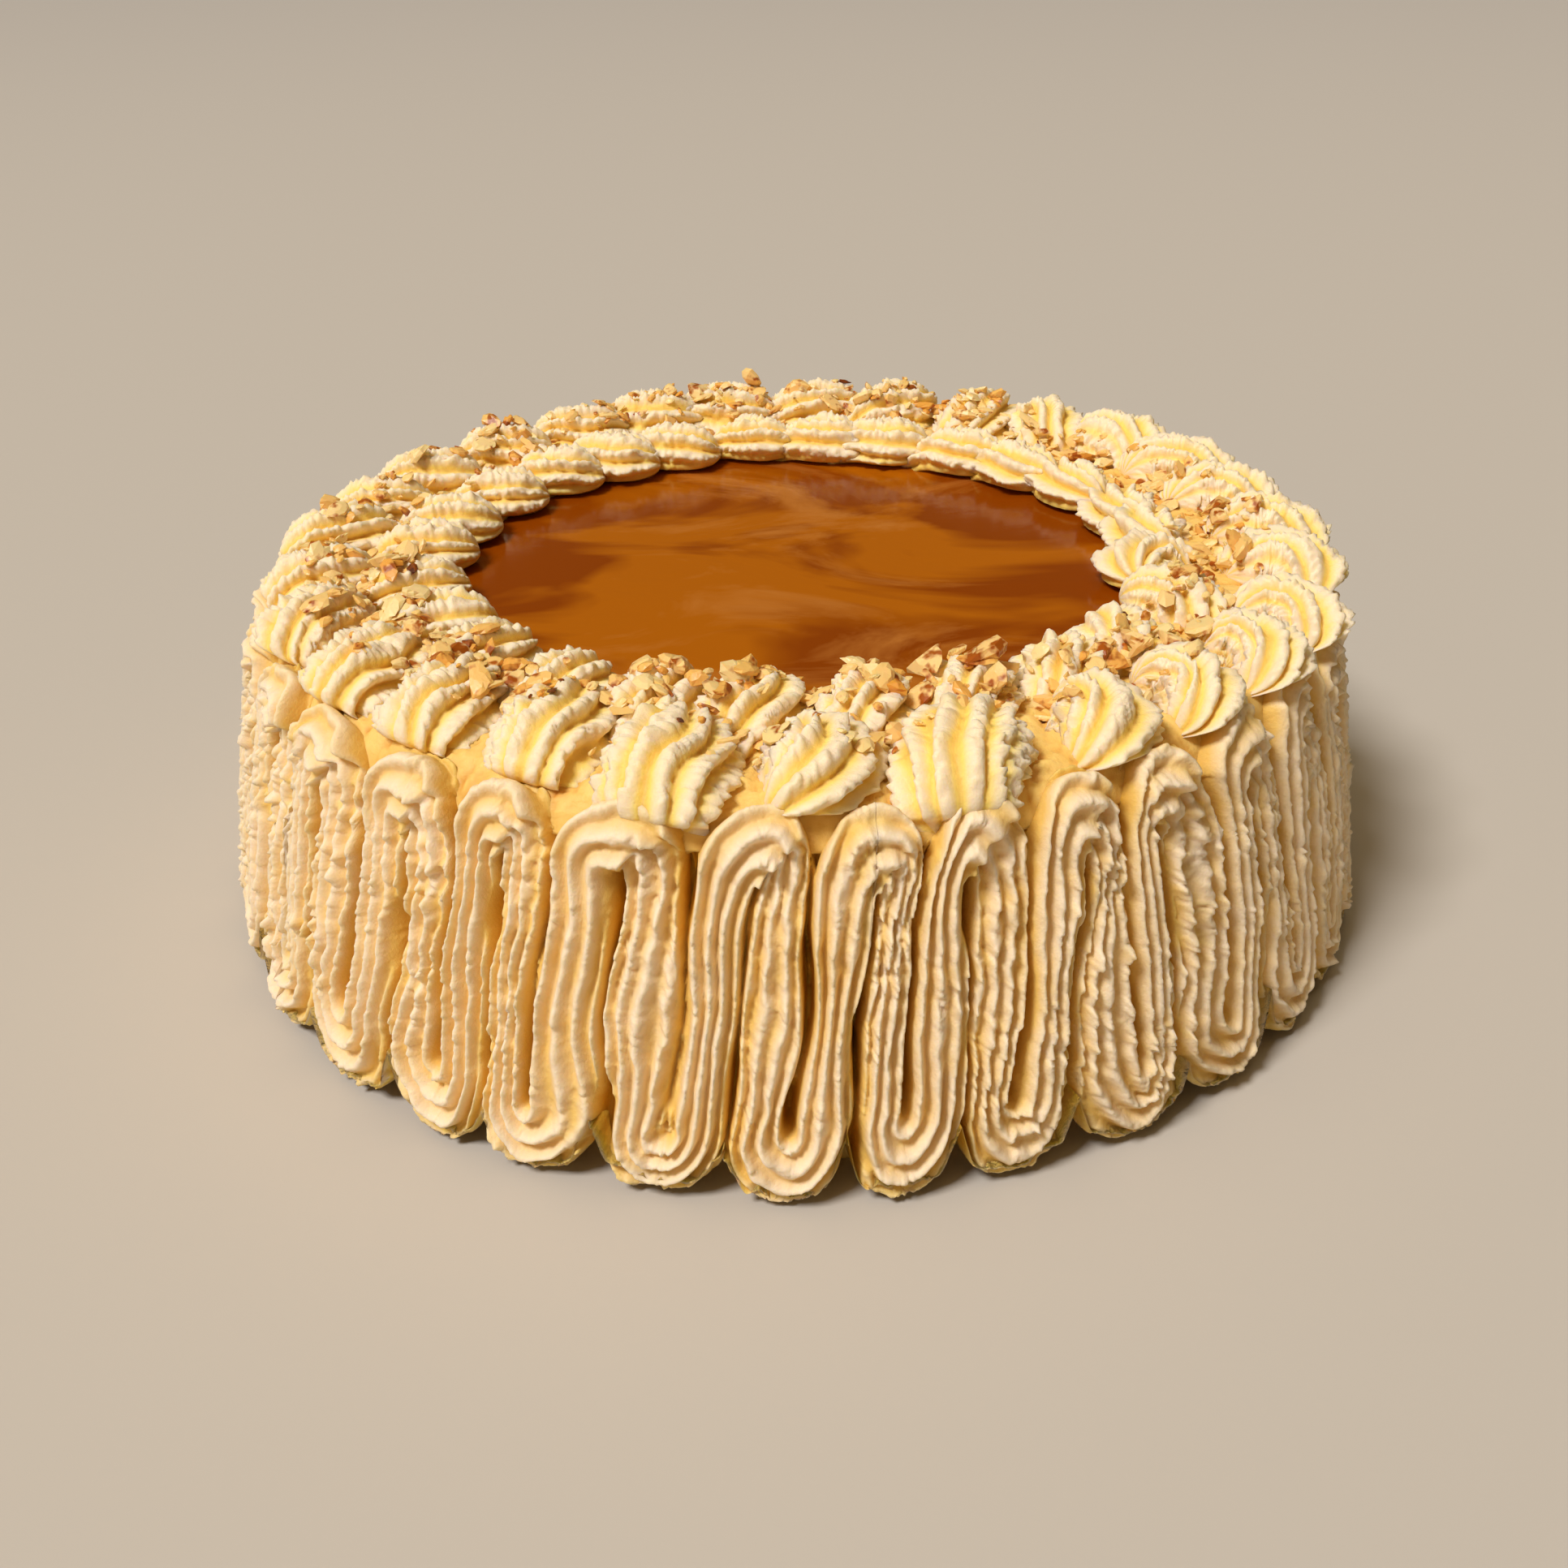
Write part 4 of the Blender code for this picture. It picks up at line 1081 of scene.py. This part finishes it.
class PipeSide(bpy.types.Operator):
    """Pipe the serpentine of star-nozzle cream up and down the side"""

    bl_idname = "caramel_cake.pipe_side"
    bl_label = "Pipe the Side"

    def execute(self, context):
        sizes, colours = context.scene.cake_sizes, context.scene.cake_colours
        # The valley and slit colours are painted shade
        crest_colour, valley, slit = colours.cream_crest, colours.cream_valley_shade, colours.cream_slit_shade
        cream = cream_material("side_cream_finish", crest_colour, valley, slit)
        for sector, first, last in SECTORS:
            points, faces, hollow = side_sector(first, last, sizes)
            name = f"side_piping_{sector}"
            add_piece(name, points, faces, cream, "side_piping", {"hollow": hollow}, 1)
        return {"FINISHED"}


class PipeShells(bpy.types.Operator):
    """Pipe the two rows of shells round the rim"""

    bl_idname = "caramel_cake.pipe_shells"
    bl_label = "Pipe the Shells"

    def execute(self, context):
        sizes, colours = context.scene.cake_sizes, context.scene.cake_colours
        # The valley and slit colours are painted shade
        crest_colour, valley, slit = colours.shell_crest, colours.shell_valley_shade, colours.cream_slit_shade
        cream = cream_material("shell_cream_finish", crest_colour, valley, slit, SHELL_SOFTNESS)
        for row, half_width, length in (
            ("outer", sizes.outer_shell_half_width, sizes.outer_shell_length),
            ("inner", sizes.inner_shell_half_width, sizes.inner_shell_length),
        ):
            plan = shell_plan(row == "outer")
            points, hollow = shell_sheets(plan, half_width, length, SHELL_STYLES[row], sizes)
            front = np.abs(plan[:, 0]) < 90
            for side, chosen in (("front", front), ("back", ~front)):
                listed, faces, shade = closed_shells(points[chosen], hollow[chosen])
                name = f"{row}_shells_{side}"
                add_piece(name, listed, faces, cream, "rim_piping", {"hollow": shade})
        return {"FINISHED"}


class SpreadBed(bpy.types.Operator):
    """Spread the bed of cream under the shells"""

    bl_idname = "caramel_cake.spread_bed"
    bl_label = "Spread the Bed"

    def execute(self, context):
        colours = context.scene.cake_colours
        # The coat and soaked colours fill the bed's hollows as painted shade
        cream = cream_material("bed_cream_finish", colours.bed, colours.coat, colours.soaked)
        sheet, hollow = bed_sheet()
        points = sheet.reshape(-1, 3)
        faces = outward(points, grid_faces(BED_ROWS, BED_COLUMNS, close_rows=True, close_columns=True))
        add_piece("cream_bed", points, [faces], cream, "rim_piping", {"hollow": hollow})
        return {"FINISHED"}


class StrewNuts(bpy.types.Operator):
    """Strew chopped nuts between the two rows of shells"""

    bl_idname = "caramel_cake.strew_nuts"
    bl_label = "Strew the Nuts"

    def execute(self, context):
        sizes, colours = context.scene.cake_sizes, context.scene.cake_colours
        nut_group()
        pale = (colours.nut, colours.nut_deep, colours.nut_brown)
        browned = (colours.nut_deep, colours.nut_gold, colours.nut_brown)
        skin = (colours.nut_skin, colours.nut_brown, colours.nut_skin)
        draw = np.random.default_rng(NUT_SEED)
        kinds = (
            ("nuts_pale", "pale_nut", pale, strewn(sizes.pale_nuts, *PALE_SIZES, draw)),
            ("nuts_browned", "browned_nut", browned, strewn(sizes.browned_nuts, *BROWNED_SIZES, draw)),
            ("nuts_skin", "nut_skin", skin, strewn(sizes.skins, *SKIN_SIZES, draw)),
            ("nuts_large", "large_nut", pale, np.array(LARGE_CHIPS).T),
        )
        for name, finish, shades, (azimuth, radius, size) in kinds:
            shape, browning, roughness = CHIP_STYLES[name]
            material = nut_material(finish, *shades, browning, roughness)
            chips, tone = chopped_pieces(azimuth, radius, size, shape, draw)
            faces = closed_faces(len(size), CHIP_RINGS, CHIP_SPOKES)
            points = chips.reshape(-1, 3)
            add_piece(name, points, faces, material, "rim_piping", {"tone": tone}, 0)
        return {"FINISHED"}


class FinishCore(bpy.types.Operator):
    """Finish the cream coat and the poured caramel, whose solids stay"""

    bl_idname = "caramel_cake.finish_core"
    bl_label = "Finish Coat and Caramel"

    def execute(self, context):
        colours = context.scene.cake_colours
        coat = cream_material(
            "coat_finish", colours.coat, colours.coat, colours.cream_slit_shade, pit_scale=500.0, flat_hollow=0.2
        )
        for node, material in (("cake", coat), ("caramel", caramel_material(colours))):
            solid = frame["nodes"][node]
            for slot in solid.material_slots:
                slot.material = material
        return {"FINISHED"}


class SetStage(bpy.types.Operator):
    """Set the plain floor, the soft light and the camera"""

    bl_idname = "caramel_cake.set_stage"
    bl_label = "Set the Stage"

    def execute(self, context):
        scene = context.scene
        corners = [(FLOOR_HALF * x, FLOOR_HALF * y, 0) for x, y in ((-1, -1), (1, -1), (1, 1), (-1, 1))]
        mesh = bpy.data.meshes.new("floor")
        mesh.from_pydata(corners, [], [(0, 1, 2, 3)])
        paint, tree, shader = new_material("floor_paint")
        give(tree, shader, {"Base Color": (*scene.cake_colours.floor, 1), "Roughness": 0.7})
        mesh.materials.append(paint)
        floor = bpy.data.objects.new("floor", mesh)
        scene.collection.objects.link(floor)

        camera = bpy.data.cameras.new("camera")
        camera.sensor_width = CAMERA_SENSOR
        camera.lens = CAMERA_LENS
        camera.clip_start = CAMERA_NEAR
        view = bpy.data.objects.new("camera", camera)
        view.location = CAMERA_PLACE
        view.rotation_euler = [math.radians(angle) for angle in CAMERA_TURN]
        scene.collection.objects.link(view)
        scene.camera = view

        world = bpy.data.worlds.new("studio")
        world.use_nodes = True
        tree = world.node_tree
        glow = tree.nodes["Background"]
        give(tree, glow, {"Color": GLOW_COLOUR, "Strength": GLOW_STRENGTH})
        distance = add_node(tree, "ShaderNodeBackground", {"Color": DISTANCE_COLOUR})
        seen = add_node(tree, "ShaderNodeLightPath").outputs["Is Camera Ray"]
        shares = {0: seen, 1: glow.outputs[0], 2: distance.outputs[0]}
        either = add_node(tree, "ShaderNodeMixShader", shares)
        give(tree, tree.nodes["World Output"], {"Surface": either.outputs[0]})
        scene.world = world
        for name, kind, place, size, strength, tint in LAMPS:
            lamp = bpy.data.lights.new(name, kind)
            if kind == "SUN":
                lamp.angle = size
            else:
                lamp.size = size
            lamp.energy = strength
            lamp.color = tint
            light = bpy.data.objects.new(name, lamp)
            light.location = place
            tilt = math.atan2(math.hypot(place[0], place[1]), place[2])
            light.rotation_euler = (tilt, 0, math.atan2(place[0], -place[1]))
            scene.collection.objects.link(light)
        scene.view_settings.view_transform = "Standard"
        return {"FINISHED"}


class CakePanel(bpy.types.Panel):
    """The cake's sizes, colours and steps"""

    bl_idname = "VIEW3D_PT_caramel_cake"
    bl_label = "Caramel Cake"
    bl_space_type = "VIEW_3D"
    bl_region_type = "UI"
    bl_category = "Cake"

    def draw(self, context):
        for step in STEPS:
            self.layout.operator(step.bl_idname)
        for group in (context.scene.cake_sizes, context.scene.cake_colours):
            box = self.layout.box()
            for value in group.__annotations__:
                box.prop(group, value)


STEPS = (PipeSide, PipeShells, SpreadBed, StrewNuts, FinishCore, SetStage)
CLASSES = (CakeSizes, CakeColours, *STEPS, CakePanel)


def register():
    for made in CLASSES:
        bpy.utils.register_class(made)
    bpy.types.Scene.cake_sizes = bpy.props.PointerProperty(type=CakeSizes)
    bpy.types.Scene.cake_colours = bpy.props.PointerProperty(type=CakeColours)


def unregister():
    del bpy.types.Scene.cake_colours
    del bpy.types.Scene.cake_sizes
    for made in reversed(CLASSES):
        bpy.utils.unregister_class(made)


def main():
    register()
    cream_group()
    bpy.ops.caramel_cake.pipe_side()
    bpy.ops.caramel_cake.pipe_shells()
    bpy.ops.caramel_cake.spread_bed()
    bpy.ops.caramel_cake.strew_nuts()
    bpy.ops.caramel_cake.finish_core()
    bpy.ops.caramel_cake.set_stage()


if __name__ == "__main__":
    main()
